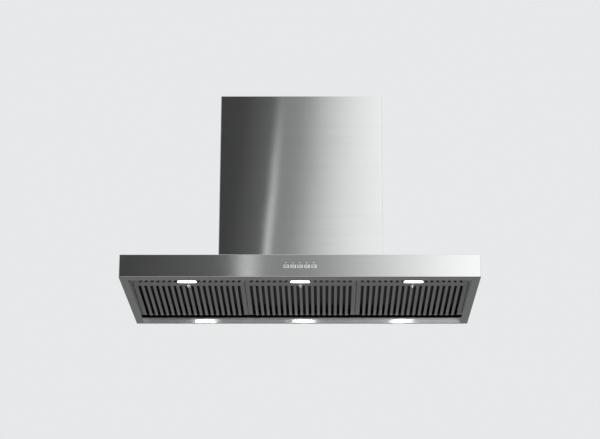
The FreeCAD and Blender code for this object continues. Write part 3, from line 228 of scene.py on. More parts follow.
def makeMoulded():
    # fine sparked texture and slight clouding of a moulded or cast face
    group, given, out = newGroup(
        "mouldTexture",
        [
            ("grain", "Float", 900),
            ("colour", "Color", (0.1, 0.1, 0.1, 1)),
            ("colourSwing", "Float", 0.15),
            ("roughness", "Float", 0.5),
            ("roughnessSwing", "Float", 0.15),
            ("depth", "Float", 0.00004),
        ],
        effectOutputs,
    )
    spot = addNode(group, "ShaderNodeTexCoord").outputs["Object"]
    fine, cloud = (addNode(group, "ShaderNodeTexNoise") for use in ("grain", "cloud"))
    group.links.new(given["grain"], fine.inputs["Scale"])
    cloud.inputs["Scale"].default_value = noiseScale["cloud"]
    for noise in (fine, cloud):
        group.links.new(spot, noise.inputs["Vector"])
    shade = calculate(group, "SUBTRACT", cloud.outputs[0], 0.5)
    lighter = calculate(group, "MULTIPLY", shade, given["colourSwing"])
    group.links.new(shiftValue(group, given["colour"], lighter), out["colour"])
    duller = calculate(group, "MULTIPLY_ADD", shade, given["roughnessSwing"], given["roughness"])
    group.links.new(duller, out["roughness"])
    group.links.new(calculate(group, "MULTIPLY", fine.outputs[0], given["depth"]), out["height"])
    return group


brushed = makeBrushed()
sheetBow = makeSheetBow()
spangle = makeSpangle()
moulded = makeMoulded()


# painted shade: where a sheet is painted darker as if in shadow, colour and specular tint cut:
# axis, the level past which it starts, share of the light
paintedShade = {"rail_steel": ("Z", 0.0195, 0.03), "filter_frame_steel": ("Y", -0.0697, 0.16)}


def newFinish(name, effect, values, spread=None, bow=None, **fixed):
    # colour, roughness and bump from one shared effect, the rest set on the shader
    material = bpy.data.materials.new(name)
    material.use_nodes = True
    tree = material.node_tree
    shader = tree.nodes["Principled BSDF"]
    made = placeGroup(tree, effect, values)
    colour = made["colour"]
    # painted shade: past the level, colour and specular tint drop to the given share, above the
    # rail's lit strip and at the rear end of the filter frames
    if name in paintedShade:
        axis, level, share = paintedShade[name]
        split = addNode(tree, "ShaderNodeSeparateXYZ")
        tree.links.new(addNode(tree, "ShaderNodeTexCoord").outputs["Object"], split.inputs[0])
        past = calculate(tree, "GREATER_THAN", split.outputs[axis], level)
        lost = calculate(tree, "MULTIPLY", past, share - 1)
        colour = shiftValue(tree, colour, lost)
        tree.links.new(calculate(tree, "ADD", lost, 1), shader.inputs["Specular Tint"])
    tree.links.new(colour, shader.inputs["Base Color"])
    tree.links.new(made["roughness"], shader.inputs["Roughness"])
    height = made["height"]
    if bow:
        bowed = placeGroup(tree, sheetBow, bow)["height"]
        height = calculate(tree, "ADD", height, bowed)
    bump = addNode(tree, "ShaderNodeBump")
    bump.inputs["Strength"].default_value = 1
    bump.inputs["Distance"].default_value = 1
    tree.links.new(height, bump.inputs["Height"])
    tree.links.new(bump.outputs["Normal"], shader.inputs["Normal"])
    if spread:  # across the grain, where it spreads a highlight
        direction = addNode(tree, "ShaderNodeCombineXYZ")
        for socket, value in zip(direction.inputs, spread):
            socket.default_value = value
        tree.links.new(direction.outputs[0], shader.inputs["Tangent"])
    for label, value in fixed.items():
        shader.inputs[label].default_value = value
    return material


steelColour = (0.62, 0.63, 0.63, 1)
upright = (0, 0.03, 1)
sideways = (1, 0.02, 0.03)
lengthwise = {"lineScale": (3, 700, 900), "streakScale": (0.7, 50, 60)}
crosswise = {"lineScale": (900, 3, 900), "streakScale": (60, 0.7, 60)}
steel = {"Metallic": 1, "Anisotropic": 0.95}
sheetSteel = {
    "colour": steelColour,
    "roughness": 0.125,
    "roughnessSwing": 0.03,
    "lineDepth": 0.000006,
}
dullSteel = {"colour": (0.5, 0.5, 0.5, 1), "roughness": 0.34, "roughnessSwing": 0.1}
chimneyBow = {
    "lean": 0.0195,
    "bow": 0.1415,
    "cup": -0.43,
    "twist": -0.0246,
    "skew": 0.105,
    "dents": 0.0002,
}

# name: effect, its values, spread of a highlight, bow of the sheet, fixed values
finishSet = {
    "stainless": (brushed, sheetSteel, upright, None, steel),
    "chimneySteel": (brushed, sheetSteel, upright, chimneyBow, steel),
    "back_sheet": (
        brushed,
        {
            "colour": (0.5, 0.51, 0.52, 1),
            "roughness": 0.36,
            "roughnessSwing": 0.12,
            "colourSwing": 0.12,
        },
        upright,
        None,
        steel,
    ),
    "rail_steel": (
        brushed,
        {
            "colour": (0.72, 0.72, 0.72, 1),
            "roughness": 0.24,
            "roughnessSwing": 0.02,
            "lineScale": (0.05, 6000, 6000),
            "streakScale": (0.2, 50, 60),
            "lineDepth": 0.0000004,
        },
        upright,
        {"rise": 0.12},
        {"Metallic": 1, "Anisotropic": 1},
    ),
    "lamp_panel_steel": (
        brushed,
        {
            "colour": (0.6, 0.61, 0.61, 1),
            "roughness": 0.05,
            "roughnessSwing": 0.02,
            "lineDepth": 0.0000004,
            **lengthwise,
        },
        None,
        None,
        {"Metallic": 1},
    ),
    "lamp_case": (
        moulded,
        {"colour": (0.6, 0.6, 0.6, 1), "roughness": 0.45, "grain": 600},
        None,
        None,
        {"Metallic": 1},
    ),
    "filter_frame_steel": (brushed, {**dullSteel, **lengthwise}, sideways, None, steel),
    "slat_steel": (brushed, {**dullSteel, **crosswise}, sideways, None, steel),
    # painted shade: a dark copy of the slat steel for the upper slats, standing in for the shade
    # inside the slots
    "shadedSlatSteel": (
        brushed,
        {"colour": (0.13, 0.13, 0.13, 1), "roughness": 0.45, "roughnessSwing": 0.15, **crosswise},
        sideways,
        None,
        {"Metallic": 1},
    ),
    "knob_steel": (
        brushed,
        {"colour": (0.92, 0.92, 0.92, 1), "roughness": 0.45, "lineScale": (3, 3, 2500)},
        None,
        None,
        {"Metallic": 1},
    ),
    "cam_steel": (
        brushed,
        {"colour": (0.55, 0.55, 0.55, 1), "roughness": 0.38, "roughnessSwing": 0.12},
        None,
        None,
        {"Metallic": 1},
    ),
    "button_metal": (
        brushed,
        {"colour": (0.85, 0.85, 0.85, 1), "roughness": 0.2, "lineScale": (6, 6, 2500)},
        None,
        None,
        {"Metallic": 1},
    ),
    "circuit_board": (
        moulded,
        {"colour": (0.05, 0.22, 0.1, 1), "roughness": 0.35, "grain": 500, "colourSwing": 0.5},
        None,
        None,
        {},
    ),
    "black_plastic": (
        moulded,
        {"colour": (0.03, 0.03, 0.03, 1), "roughness": 0.5, "colourSwing": 0.4},
        None,
        None,
        {},
    ),
    "case_plastic": (
        moulded,
        {"colour": (0.7, 0.7, 0.68, 1), "roughness": 0.45, "colourSwing": 0.08},
        None,
        None,
        {},
    ),
    "light_pipe": (
        moulded,
        {"colour": (0.9, 0.95, 1, 1), "roughness": 0.15, "depth": 0.00001},
        None,
        None,
        {"Emission Color": (0.9, 0.95, 1, 1), "Emission Strength": 0.8},
    ),
    "galvanised": (
        spangle,
        {"colour": (0.58, 0.6, 0.62, 1), "roughness": 0.38},
        None,
        None,
        {"Metallic": 1},
    ),
    "motor_paint": (
        moulded,
        {"colour": (0.06, 0.06, 0.07, 1), "roughness": 0.32, "grain": 500},
        None,
        None,
        {},
    ),
    "capacitor_case": (
        moulded,
        {"colour": (0.75, 0.75, 0.75, 1), "roughness": 0.3, "colourSwing": 0.05},
        None,
        None,
        {},
    ),
    "bright_steel": (
        brushed,
        {"colour": (0.7, 0.7, 0.7, 1), "roughness": 0.25, "lineScale": (1500, 1500, 1500)},
        None,
        None,
        {"Metallic": 1},
    ),
    "lamp_lens": (
        moulded,
        {"colour": (1, 0.99, 0.96, 1), "roughness": 0.35, "grain": 700, "colourSwing": 0.03},
        None,
        None,
        {"Emission Color": (1, 0.97, 0.92, 1), "Emission Strength": 5},
    ),
    "markInk": (
        moulded,
        {"colour": (0.02, 0.02, 0.02, 1), "roughness": 0.6, "grain": 3000},
        None,
        None,
        {},
    ),
}
finishes = {}
for name, (effect, values, spread, bow, fixed) in finishSet.items():
    finishes[name] = newFinish(name, effect, values, spread, bow, **fixed)

slotOf = {part["node"]: part["material_slot"] for part in frame["record"]["subparts"]}
ownFinish = {"chimney_cover": "chimneySteel"}
# the upper slats take the dark copy of the slat steel, as painted shade in the slots
ownFinish.update({"upper_slats_" + side: "shadedSlatSteel" for side in bays})
for name, node in nodes.items():
    node.data.materials.clear()
    node.data.materials.append(finishes[ownFinish.get(name, slotOf[name])])
print("finishes made:", len(finishes))


def joinShape(target, shape, places=(Matrix(),)):
    # adds a copy of one shape to another at each place
    mesh = bpy.data.meshes.new("joined")
    shape.to_mesh(mesh)
    shape.free()
    for place in places:
        copy = mesh.copy()
        copy.transform(place)
        target.from_mesh(copy)
        bpy.data.meshes.remove(copy)
    bpy.data.meshes.remove(mesh)


def bevelShape(shape, parts, width, steps, affect="EDGES"):
    return bmesh.ops.bevel(
        shape,
        geom=parts,
        offset=width,
        segments=steps,
        profile=0.5,
        affect=affect,
        material=-1,
    )


def softenEdges(shape, width, steps=2, limit=40):
    # rounds the edges at which two faces meet at more than the limit
    shape.normal_update()
    sharp = [
        edge
        for edge in shape.edges
        if len(edge.link_faces) == 2 and edge.calc_face_angle() > math.radians(limit)
    ]
    bevelShape(shape, sharp, width, steps)


def turnShape(profile, steps=32):
    # (radius, height) pairs turned round Z
    shape = bmesh.new()
    dots = [shape.verts.new((radius, 0, height)) for radius, height in profile]
    lines = [shape.edges.new(pair) for pair in zip(dots, dots[1:])]
    bmesh.ops.spin(
        shape,
        geom=dots + lines,
        cent=(0, 0, 0),
        axis=(0, 0, 1),
        dvec=(0, 0, 0),
        angle=2 * math.pi,
        steps=steps,
        use_merge=True,
    )
    bmesh.ops.remove_doubles(shape, verts=shape.verts, dist=1e-6)
    return shape


def roundOutline(shape, width, depth, corner, steps):
    # a flat face with round corners, round the middle of the shape
    size = Matrix.Diagonal((width, depth, 1, 1))
    made = bmesh.ops.create_grid(shape, x_segments=1, y_segments=1, size=0.5, matrix=size)
    return bevelShape(shape, made["verts"], corner, steps, "VERTICES")["verts"]


def raiseFaces(shape, low, high):
    # turns flat faces into a body from one level up to another
    bmesh.ops.translate(shape, vec=(0, 0, low), verts=shape.verts)
    made = bmesh.ops.extrude_face_region(shape, geom=shape.faces[:])["geom"]
    raised = [part for part in made if isinstance(part, bmesh.types.BMVert)]
    bmesh.ops.translate(shape, vec=(0, 0, high - low), verts=raised)


def plateShape(width, depth, low, high, corner, soft=0, steps=6):
    # a plate with round corners standing on Z, its rims softened
    shape = bmesh.new()
    roundOutline(shape, width, depth, corner, steps)
    raiseFaces(shape, low, high)
    bmesh.ops.recalc_face_normals(shape, faces=shape.faces)
    if soft:
        softenEdges(shape, soft)
    return shape


def ringShape(outer, inner, low, high, steps=6):
    # a flat ring between two rounded outlines, each (width, depth, corner)
    shape = bmesh.new()
    loops = []
    for outline in (outer, inner):
        rounded = roundOutline(shape, *outline, steps)
        loops.append({edge for vert in rounded for edge in vert.link_edges})
    bmesh.ops.delete(shape, geom=shape.faces[:], context="FACES_ONLY")
    bmesh.ops.bridge_loops(shape, edges=[edge for loop in loops for edge in loop])
    raiseFaces(shape, low, high)
    return shape


def finishPiece(name, shape, body, slot, replaced=(), smooth=32, finish=None):
    # turns a shape into a piece of the hood that rides on a body
    bmesh.ops.recalc_face_normals(shape, faces=shape.faces)
    mesh = bpy.data.meshes.new(name)
    shape.to_mesh(mesh)
    shape.free()
    mesh.materials.append(finishes[finish or slot])
    mesh.shade_smooth()
    mesh.set_sharp_from_angle(angle=math.radians(smooth))
    piece = bpy.data.objects.new(name, mesh)
    bpy.context.scene.collection.objects.link(piece)
    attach(piece, body)
    if replaced:
        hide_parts(*replaced)
    return piece


canopyMend = {"least": 0.7}  # the least cosine of a corner's normal to its face


def mendCanopy():
    # a copy of the canopy in which long thin faces get back the direction that they face
    mesh = nodes["canopy_shell"].data.copy()
    directions = []
    for face in mesh.polygons:
        for corner in face.loop_indices:
            given = mesh.corner_normals[corner].vector
            turnedAway = given.dot(face.normal) < canopyMend["least"]
            directions.extend(face.normal if turnedAway else given)
    mesh.attributes.remove(mesh.attributes["custom_normal"])
    free = mesh.attributes.new("custom_normal", "FLOAT_VECTOR", "CORNER")
    free.data.foreach_set("vector", directions)
    piece = bpy.data.objects.new("canopyMended", mesh)
    bpy.context.scene.collection.objects.link(piece)
    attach(piece, "hood")
    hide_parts("canopy_shell")


def turned(axis, degrees):
    return Matrix.Rotation(math.radians(degrees), 4, axis)


def moved(x, y, z):
    return Matrix.Translation((x, y, z))


lamp = {
    "tilt": 11.768,
    "foot": (-0.5568, 0.005),  # Y and Z of the panel's front edge
    "seat": 0.066,
    "size": (0.068, 0.030),
    "corner": 0.0115,
    "proud": 0.0062,
    "soft": 0.0018,
    "panel": 0.0012,
    "skin": (0.382, 0.1214, 0.0037),  # width of a bay, depth and thickness
    "skinCorner": 0.0005,
    "border": 0.0016,
    "borderLap": 0.001,
    "borderLevels": (-0.0004, 0.001),  # from the underside of the skin
    "borderSoft": 0.0003,
    "power": 1.1,
    "lightGap": 0.0005,
    "lightColour": (1, 0.97, 0.92),
}


def makeLamps():
    # lit lenses in a polished skin that lies under the sloping panel, flush with the front rail
    width, depth = lamp["size"]
    bayWidth, skinDepth, skin = lamp["skin"]
    inner = (width - 2 * lamp["border"], depth - 2 * lamp["border"])
    for side, middle in bays.items():
        slope = moved(middle, *lamp["foot"]) @ turned("X", lamp["tilt"]) @ moved(0, lamp["seat"], 0)
        top = lamp["panel"] + lamp["proud"]
        lens = plateShape(*inner, -lamp["proud"], top, lamp["corner"], 0, 8)
        rim = [edge for edge in lens.edges if all(vert.co.z < 0 for vert in edge.verts)]
        bevelShape(lens, rim, lamp["soft"], 4)
        bmesh.ops.transform(lens, matrix=slope, verts=lens.verts)
        finishPiece("lampLens_" + side, lens, "hood", "lamp_lens", ["lamp_lens_" + side])
        window = (width, depth, lamp["corner"])
        sheet = ringShape((bayWidth, skinDepth, lamp["skinCorner"]), window, -skin, 0, 8)
        bmesh.ops.transform(sheet, matrix=slope, verts=sheet.verts)
        finishPiece("lampSkin_" + side, sheet, "hood", "lamp_panel_steel")
        lap = 2 * lamp["borderLap"]
        low, high = lamp["borderLevels"]
        outer = (width + lap, depth + lap, lamp["corner"])
        border = ringShape(outer, (*inner, lamp["corner"]), low - skin, high - skin, 8)
        softenEdges(border, lamp["borderSoft"], 2)
        bmesh.ops.transform(border, matrix=slope, verts=border.verts)
        finishPiece("lampBorder_" + side, border, "hood", "lamp_case")
        light = bpy.data.lights.new("lampLight_" + side, "AREA")
        light.shape = "RECTANGLE"
        light.size, light.size_y = inner
        light.energy = lamp["power"]
        light.color = lamp["lightColour"]
        source = bpy.data.objects.new("lampLight_" + side, light)
        source.matrix_world = slope @ moved(0, 0, -lamp["proud"] - lamp["lightGap"])
        source.visible_camera = False
        bpy.context.scene.collection.objects.link(source)


knob = {
    "inset": 0.024,  # from the filter's front edge
    "grip": (-0.0081, -0.0034),  # the knurled band
    "radius": 0.0055,
    "grooves": 24,
    "depth": 0.0004,
    "margin": 0.00012,
    "outerShare": 0.9,  # of the radius, past which a face is in the band
    # (radius, height) from the dished foot to the grip, and from the grip to the stem's end
    "foot": [
        (0, -0.0085),
        (0.0018, -0.0085),
        (0.0022, -0.0093),
        (0.0032, -0.0093),
        (0.0041, -0.0091),
        (0.0048, -0.0087),
    ],
    "neck": [
        (0.0047, -0.003),
        (0.0047, -0.0018),
        (0.0051, -0.0014),
        (0.0051, -0.0006),
        (0.0048, -0.0003),
        (0.0025, -0.0003),
        (0.0025, 0.0028),
        (0.004, 0.0028),
        (0.004, 0.0039),
        (0.0036, 0.0043),
        (0, 0.0043),
    ],
}
filterSet = {"tilt": -2.6425, "rear": (-0.052, 0.0136), "length": 0.3774}


def filterPlace(middle):
    # from a filter's own flat frame to its place in the hood
    return moved(middle, *filterSet["rear"]) @ turned("X", filterSet["tilt"])


def makeKnobs():
    radius = knob["radius"]
    low, high = knob["grip"]
    profile = [*knob["foot"], (radius, low), (radius, high), *knob["neck"]]
    for side, middle in bays.items():
        shape = turnShape(profile, 2 * knob["grooves"])
        shape.normal_update()
        band = []
        for face in shape.faces:
            centre = face.calc_center_median()
            if low < centre.z < high and centre.to_2d().length > knob["outerShare"] * radius:
                band.append((math.atan2(centre.y, centre.x), face))
        band.sort(key=lambda pair: pair[0])
        grooves = [face for angle, face in band[::2]]
        margin, depth = knob["margin"], knob["depth"]
        bmesh.ops.inset_individual(shape, faces=grooves, thickness=margin, depth=-depth)
        place = filterPlace(middle) @ moved(0, knob["inset"] - filterSet["length"], 0)
        bmesh.ops.transform(shape, matrix=place, verts=shape.verts)
        replaced = ["latch_knob_" + side]
        body = "latch_" + side
        finishPiece("latchKnob_" + side, shape, body, "knob_steel", replaced, smooth=25)


weld = {
    "count": 17,
    "pitch": 0.020,
    # where each row lies, its size and its finish
    "rows": ((-0.3444, 1, "filter_frame_steel"), (-0.0145, 2.2, "knob_steel")),
    "profile": [(0, -0.0006), (0.0006, -0.0005), (0.0012, -0.0002), (0.0017, 0.0001), (0, 0.0002)],
}


def makeWelds():
    # the spots at which the slats are welded to the front and rear bands of a filter
    for side, middle in bays.items():
        for end, (row, size, finish) in zip(("front", "rear"), weld["rows"]):
            spots = bmesh.new()
            places = []
            for step in range(weld["count"]):
                across = (step - (weld["count"] - 1) / 2) * weld["pitch"]
                spot = filterPlace(middle) @ moved(across, row, 0)
                places.append(spot @ Matrix.Scale(size, 4))
            joinShape(spots, turnShape(weld["profile"], 10), places)
            name = "slatWelds_" + side + "_" + end
            finishPiece(name, spots, "filter_" + side, "filter_frame_steel", finish=finish)


button = {
    "names": ("off", "low", "medium", "high", "light"),
    "pitch": 0.023,
    "centre": 0.036,
    "front": -0.600,
    "size": (0.019, 0.012),
    "corner": 0.002,
    "round": 0.0006,
    "proud": 0.0028,
    "rim": (0.0009, 0.0004),  # flat edge round the dish, then its slope
    "dish": 0.0004,
    "flange": (0.0015, 0.0030, 0.001),  # front, rear and how far it stands out
    "flangeCorner": 0.001,
    "plunger": (0.006, 0.004, 0.0109),
    "plungerCorner": 0.0004,
    "soft": 0.0002,
}
# parts of the buttons' signs, each as width, height and corner
sign = {
    "thick": 0.00012,
    "speeds": ("low", "medium", "high"),
    "bar": (0.0007, 0.0016, 0.0003),
    "barSteps": (0.0014, 0.0004, 0.0008),  # across, up and longer from bar to bar
    "ring": ((0.0044, 0.0044, 0.0021), (0.0034, 0.0034, 0.0016)),
    "stroke": (0.0006, 0.0024, 0.00025),
    "strokePlace": (0, 0.0018, 0.00002),
    "bulb": (0.0032, 0.0032, 0.0015),
    "bulbPlace": (0, 0.0006, 0),
    "socket": (0.0014, 0.0004, 0.00015),
    "socketLevels": (-0.0014, -0.0021),
}


def signPlate(size, steps=3):
    width, height, corner = size
    return plateShape(width, height, 0, sign["thick"], corner, 0, steps)


def buttonSign(name):
    # a plain sign for each button, drawn flat round the middle of its cap
    marks = bmesh.new()
    if name in sign["speeds"]:
        across, up, longer = sign["barSteps"]
        width, height, corner = sign["bar"]
        count = sign["speeds"].index(name) + 1
        for step in range(count):
            bar = signPlate((width, height + longer * step, corner))
            joinShape(marks, bar, [moved((step - (count - 1) / 2) * across, up * step, 0)])
    elif name == "off":
        joinShape(marks, ringShape(*sign["ring"], 0, sign["thick"]))
        joinShape(marks, signPlate(sign["stroke"]), [moved(*sign["strokePlace"])])
    else:
        joinShape(marks, signPlate(sign["bulb"], 8), [moved(*sign["bulbPlace"])])
        levels = [moved(0, level, 0) for level in sign["socketLevels"]]
        joinShape(marks, signPlate(sign["socket"]), levels)
    return marks


def capFront(shape):
    level = button["proud"] - 1e-5
    return [face for face in shape.faces if face.calc_center_median().z > level]


def makeButtons():
    width, height = button["size"]
    lipFront, lipRear, lip = button["flange"]
    stemWidth, stemHeight, stemEnd = button["plunger"]
    flat, slope = button["rim"]
    soft = button["soft"]
    for index, name in enumerate(button["names"]):
        # drawn flat with the front up, then turned to face the room
        shape = plateShape(width, height, -lipFront, button["proud"], button["corner"])
        rim = [edge for face in capFront(shape) for edge in face.edges]
        bevelShape(shape, rim, button["round"], 3)
        front = capFront(shape)
        bmesh.ops.inset_region(shape, faces=front, thickness=flat, depth=0)
        bmesh.ops.inset_region(shape, faces=front, thickness=slope, depth=-button["dish"])
        outer = (width + 2 * lip, height + 2 * lip)
        flange = plateShape(*outer, -lipRear, -lipFront, button["flangeCorner"], soft)
        joinShape(shape, flange)
        corner = button["plungerCorner"]
        joinShape(shape, plateShape(stemWidth, stemHeight, -stemEnd, -lipRear, corner, soft))
        across = (index - 2) * button["pitch"]
        place = moved(across, button["front"], button["centre"]) @ turned("X", 90)
        bmesh.ops.transform(shape, matrix=place, verts=shape.verts)
        body = "button_" + name
        finishPiece("buttonCap_" + name, shape, body, "button_metal", [body])
        marks = buttonSign(name)
        level = moved(0, 0, button["proud"] - button["dish"] - sign["thick"] / 4)
        bmesh.ops.transform(marks, matrix=place @ level, verts=marks.verts)
        finishPiece("buttonMark_" + name, marks, body, "black_plastic", finish="markInk")


screw = {
    "head": 0.004,
    "height": 0.0026,
    "soft": 0.0003,
    # (radius, height) of the washer under the head
    "washer": [(0, 0), (0.0052, 0), (0.0052, 0.0002), (0.0046, 0.0005), (0, 0.0005)],
    "shank": 0.00185,
    "ridge": 0.0021,
    "pitch": 0.0014,
    "neck": 0.0004,
    "point": 0.003,
    "length": 0.009,
}
# in the foot of the blower box, the collar, the motor bracket and the chimney
screwPlaces = [
    *(moved(x, y, 0.0792) for x in (-0.2025, 0.2025) for y in (-0.295, -0.19, -0.085)),
    *(moved(0, y, 0.0792) for y in (-0.0325, -0.3475)),
    *(moved(x, y, 0.361) for x in (-0.06966, 0.06966) for y in (-0.28466, -0.14534)),
    *(
        moved(-0.068, y, z) @ turned("Y", -90)
        for y, z in ((-0.151, 0.274), (-0.21249, 0.1675), (-0.08951, 0.1675))
    ),
    *(moved(side * 0.285, -0.02, 0.69) @ turned("Y", side * 90) for side in (-1, 1)),
]


def makeScrews():
    # six-sided heads on their washers, with ridged shanks and points
    pitch, ridge, shank = screw["pitch"], screw["ridge"], screw["shank"]
    washer, height, length = screw["washer"], screw["height"], screw["length"]
    thick = washer[-1][1]
    single = bmesh.new()
    bmesh.ops.create_cone(
        single,
        cap_ends=True,
        segments=6,
        radius1=screw["head"],
        radius2=screw["head"],
        depth=height - thick,
        matrix=moved(0, 0, (height + thick) / 2),
    )
    softenEdges(single, screw["soft"])
    joinShape(single, turnShape(washer, 24))
    profile = [(0, 0), (shank, 0)]
    depth = screw["neck"]
    while depth < length - screw["point"]:
        profile += [(shank, -depth), (ridge, -depth - pitch / 3), (shank, -depth - 2 * pitch / 3)]
        depth += pitch
    profile += [(shank, -depth), (0, -length)]
    joinShape(single, turnShape(profile, 14))
    shape = bmesh.new()
    joinShape(shape, single, screwPlaces)
    replaced = ["hexagon_screws"]
    finishPiece("screwsDressed", shape, "hood", "bright_steel", replaced, smooth=25)


collar = {
    "place": (0, -0.215, 0.358),
    "radius": 0.075,
    "beads": (0.030, 0.052),
    # (out, up) from the collar's face at the middle of a bead
    "bead": [
        (-0.0004, -0.0022),
        (0.0008, -0.0016),
        (0.0014, 0),
        (0.0008, 0.0016),
        (-0.0004, 0.0022),
        (-0.0004, -0.0022),
    ],
    "gussets": 12,
    "gusset": (0.014, 0.0018, 0.0025, 0.019, 0.0004),  # length, width, low, high, corner
    "gussetOut": 0.0055,
    "gussetSlope": 0.012,
}


def makeCollarTrim():
    radius = collar["radius"]
    trim = bmesh.new()
    for level in collar["beads"]:
        joinShape(trim, turnShape([(radius + out, level + up) for out, up in collar["bead"]], 64))
    length, width, low, high, corner = collar["gusset"]
    fin = plateShape(length, width, low, high, corner, 0, 2)
    middle = (low + high) / 2
    slope = [vert for vert in fin.verts if vert.co.z > middle and vert.co.x > 0]
    bmesh.ops.translate(fin, vec=(-collar["gussetSlope"], 0, 0), verts=slope)
    count = collar["gussets"]
    out = moved(radius + collar["gussetOut"], 0, 0)
    joinShape(trim, fin, [turned("Z", (step + 0.5) * 360 / count) @ out for step in range(count)])
    bmesh.ops.transform(trim, matrix=moved(*collar["place"]), verts=trim.verts)
    finishPiece("collarTrim", trim, "hood", "black_plastic")


damper = {
    "hinge": (0, -0.215, 0.38),
    "sheet": 0.00075,
    "offsets": (0.045, 0.022, -0.022, -0.045),
    "reach": 0.062,
    "start": 0.008,
    "rib": (0.0016, 0.0016, 0.0006, 0.0003),  # width, height, corner and softening
    "sink": 0.0001,
}


def makeDamperTrim():
    # ribs under each flap
    width, height, corner, soft = damper["rib"]
    start = damper["start"]
    face = -damper["sheet"]
    for side, sense in (("left", -1), ("right", 1)):
        ribs = bmesh.new()
        for offset in damper["offsets"]:
            length = math.sqrt(damper["reach"] ** 2 - offset**2) - start
            top = face + damper["sink"]
            rib = plateShape(length, width, face - height, top, corner, soft, 3)
            joinShape(ribs, rib, [moved(sense * (length / 2 + start), offset, 0)])
        bmesh.ops.transform(ribs, matrix=moved(*damper["hinge"]), verts=ribs.verts)
        finishPiece("damperRibs_" + side, ribs, "damper_" + side, "black_plastic")


def endRound(width):
    # the corner that gives a bar round ends
    return width / 2 - 0.0001


blower = {
    "half": 0.195,
    "rows": (-0.340, -0.040),
    "levels": (0.0792, 0.358),
    "sink": 0.0002,
    "bead": (0.012, 0.0016, 0.0012),  # width, height and softening
    "frame": (0.04, 0.03),  # inset and corner of the outer bead
    "bars": (0.08, 0.05),  # inset and pitch of the inner beads
    "lap": (0.018, 0.0009, 0.0002),  # width, thickness and corner
    "lapPlace": (0.009, -0.00044, 0),
    "lapTop": 0.001,
    "rivets": (0.010, -0.0009, 0.02),  # the lowest one, from the corner's foot
    "rivetCount": 6,
    "rivetPitch": 0.047,
    "rivet": [(0, 0.0014), (0.0012, 0.0012), (0.0021, 0.0006), (0.0024, -0.0001), (0, -0.0002)],
}


def makeBlowerTrim():
    # pressed beads in the sides of the blower box, corner laps and their rivets
    width, rise, soft = blower["bead"]
    front, rear = blower["rows"]
    low, high = blower["levels"]
    half, sink = blower["half"], blower["sink"]
    middle, level = (front + rear) / 2, (low + high) / 2
    # each side, with how long it is
    sides = [
        (moved(0, front, level) @ turned("X", 90), 2 * half),
        (moved(0, rear, level) @ turned("X", -90), 2 * half),
        (moved(-half, middle, level) @ turned("Z", -90) @ turned("X", 90), rear - front),
        (moved(half, middle, level) @ turned("Z", 90) @ turned("X", 90), rear - front),
    ]
    beads = bmesh.new()
    inset, corner = blower["frame"]
    barInset, barPitch = blower["bars"]
    for place, across in sides:
        outline = (across - 2 * inset, high - low - 2 * inset, corner)
        inside = (outline[0] - 2 * width, outline[1] - 2 * width, corner - width)
        frameBead = ringShape(outline, inside, -sink, rise, 8)
        softenEdges(frameBead, soft, 3)
        joinShape(beads, frameBead, [place])
        bar = plateShape(across - 2 * barInset, width, -sink, rise, endRound(width), soft, 8)
        joinShape(beads, bar, [place @ moved(0, step * barPitch, 0) for step in (-1, 0, 1)])
    laps = bmesh.new()
    rivets = bmesh.new()
    lapWidth, lapThick, lapCorner = blower["lap"]
    across, out, up = blower["rivets"]
    levels = [low + up + step * blower["rivetPitch"] for step in range(blower["rivetCount"])]
    corners = ((-half, front), (half, front), (half, rear), (-half, rear))
    for index, (x, y) in enumerate(corners):
        corner = moved(x, y, 0) @ turned("Z", 90 * index)
        lap = plateShape(lapWidth, lapThick, low, high - blower["lapTop"], lapCorner, 0, 2)
        joinShape(laps, lap, [corner @ moved(*blower["lapPlace"])])
        spots = [corner @ moved(across, out, level) @ turned("X", 90) for level in levels]
        joinShape(rivets, turnShape(blower["rivet"], 12), spots)
    finishPiece("blowerBeads", beads, "hood", "galvanised")
    finishPiece("blowerLaps", laps, "hood", "galvanised")
    finishPiece("blowerRivets", rivets, "hood", "bright_steel")


def ribRow(details):
    # a row of round-ended ribs across a flat face, sunk a little into it
    length, width, rise, soft, sink = details["rib"]
    rib = plateShape(length, width, -sink, rise, endRound(width), soft, 5)
    x, y, z = details["middle"]
    count, pitch = details["count"], details["pitch"]
    rows = [y + (step - (count - 1) / 2) * pitch for step in range(count)]
    ribs = bmesh.new()
    joinShape(ribs, rib, [moved(x, row, z) for row in rows])
    return ribs


cover = {
    "middle": (-0.246, -0.260, 0.114),
    "count": 9,
    "pitch": 0.009,
    "rib": (0.040, 0.0032, 0.0012, 0.0008, 0.0002),  # length, width, height, softening, sunk part
    "place": (-0.246, -0.240, 0.114),
    "corners": (0.024, 0.084),
    "head": [
        (0, 0.0009),
        (0.0014, 0.0010),
        (0.0024, 0.0007),
        (0.0028, 0),
        (0.0028, -0.0003),
        (0, -0.0003),
    ],
}


def makeCoverTrim():
    # louvres and corner screws of the control box cover
    finishPiece("coverLouvres", ribRow(cover), "hood", "case_plastic")
    heads = bmesh.new()
    across, along = cover["corners"]
    spots = [moved(x, y, 0) for x in (-across, across) for y in (-along, along)]
    joinShape(heads, turnShape(cover["head"], 20), spots)
    bmesh.ops.transform(heads, matrix=moved(*cover["place"]), verts=heads.verts)
    finishPiece("coverScrews", heads, "hood", "bright_steel")


driver = {
    "middle": (0.245, -0.280, 0.104),
    "count": 7,
    "pitch": 0.0085,
    "rib": (0.034, 0.003, 0.0014, 0.0006, 0.0002),
}
capacitor = {
    "place": (0.246, -0.160, 0.078),
    # (radius, height) of the strap round it
    "strap": [
        (0.01695, 0.024),
        (0.0176, 0.024),
        (0.0176, 0.036),
        (0.01695, 0.036),
        (0.01695, 0.024),
    ],
    "soft": 0.0002,
}


def makeDriverTrim():
    finishPiece("driverFins", ribRow(driver), "hood", "case_plastic")
    strap = turnShape(capacitor["strap"], 48)
    softenEdges(strap, capacitor["soft"], 2)
    bmesh.ops.transform(strap, matrix=moved(*capacitor["place"]), verts=strap.verts)
    finishPiece("capacitorStrap", strap, "hood", "bright_steel")


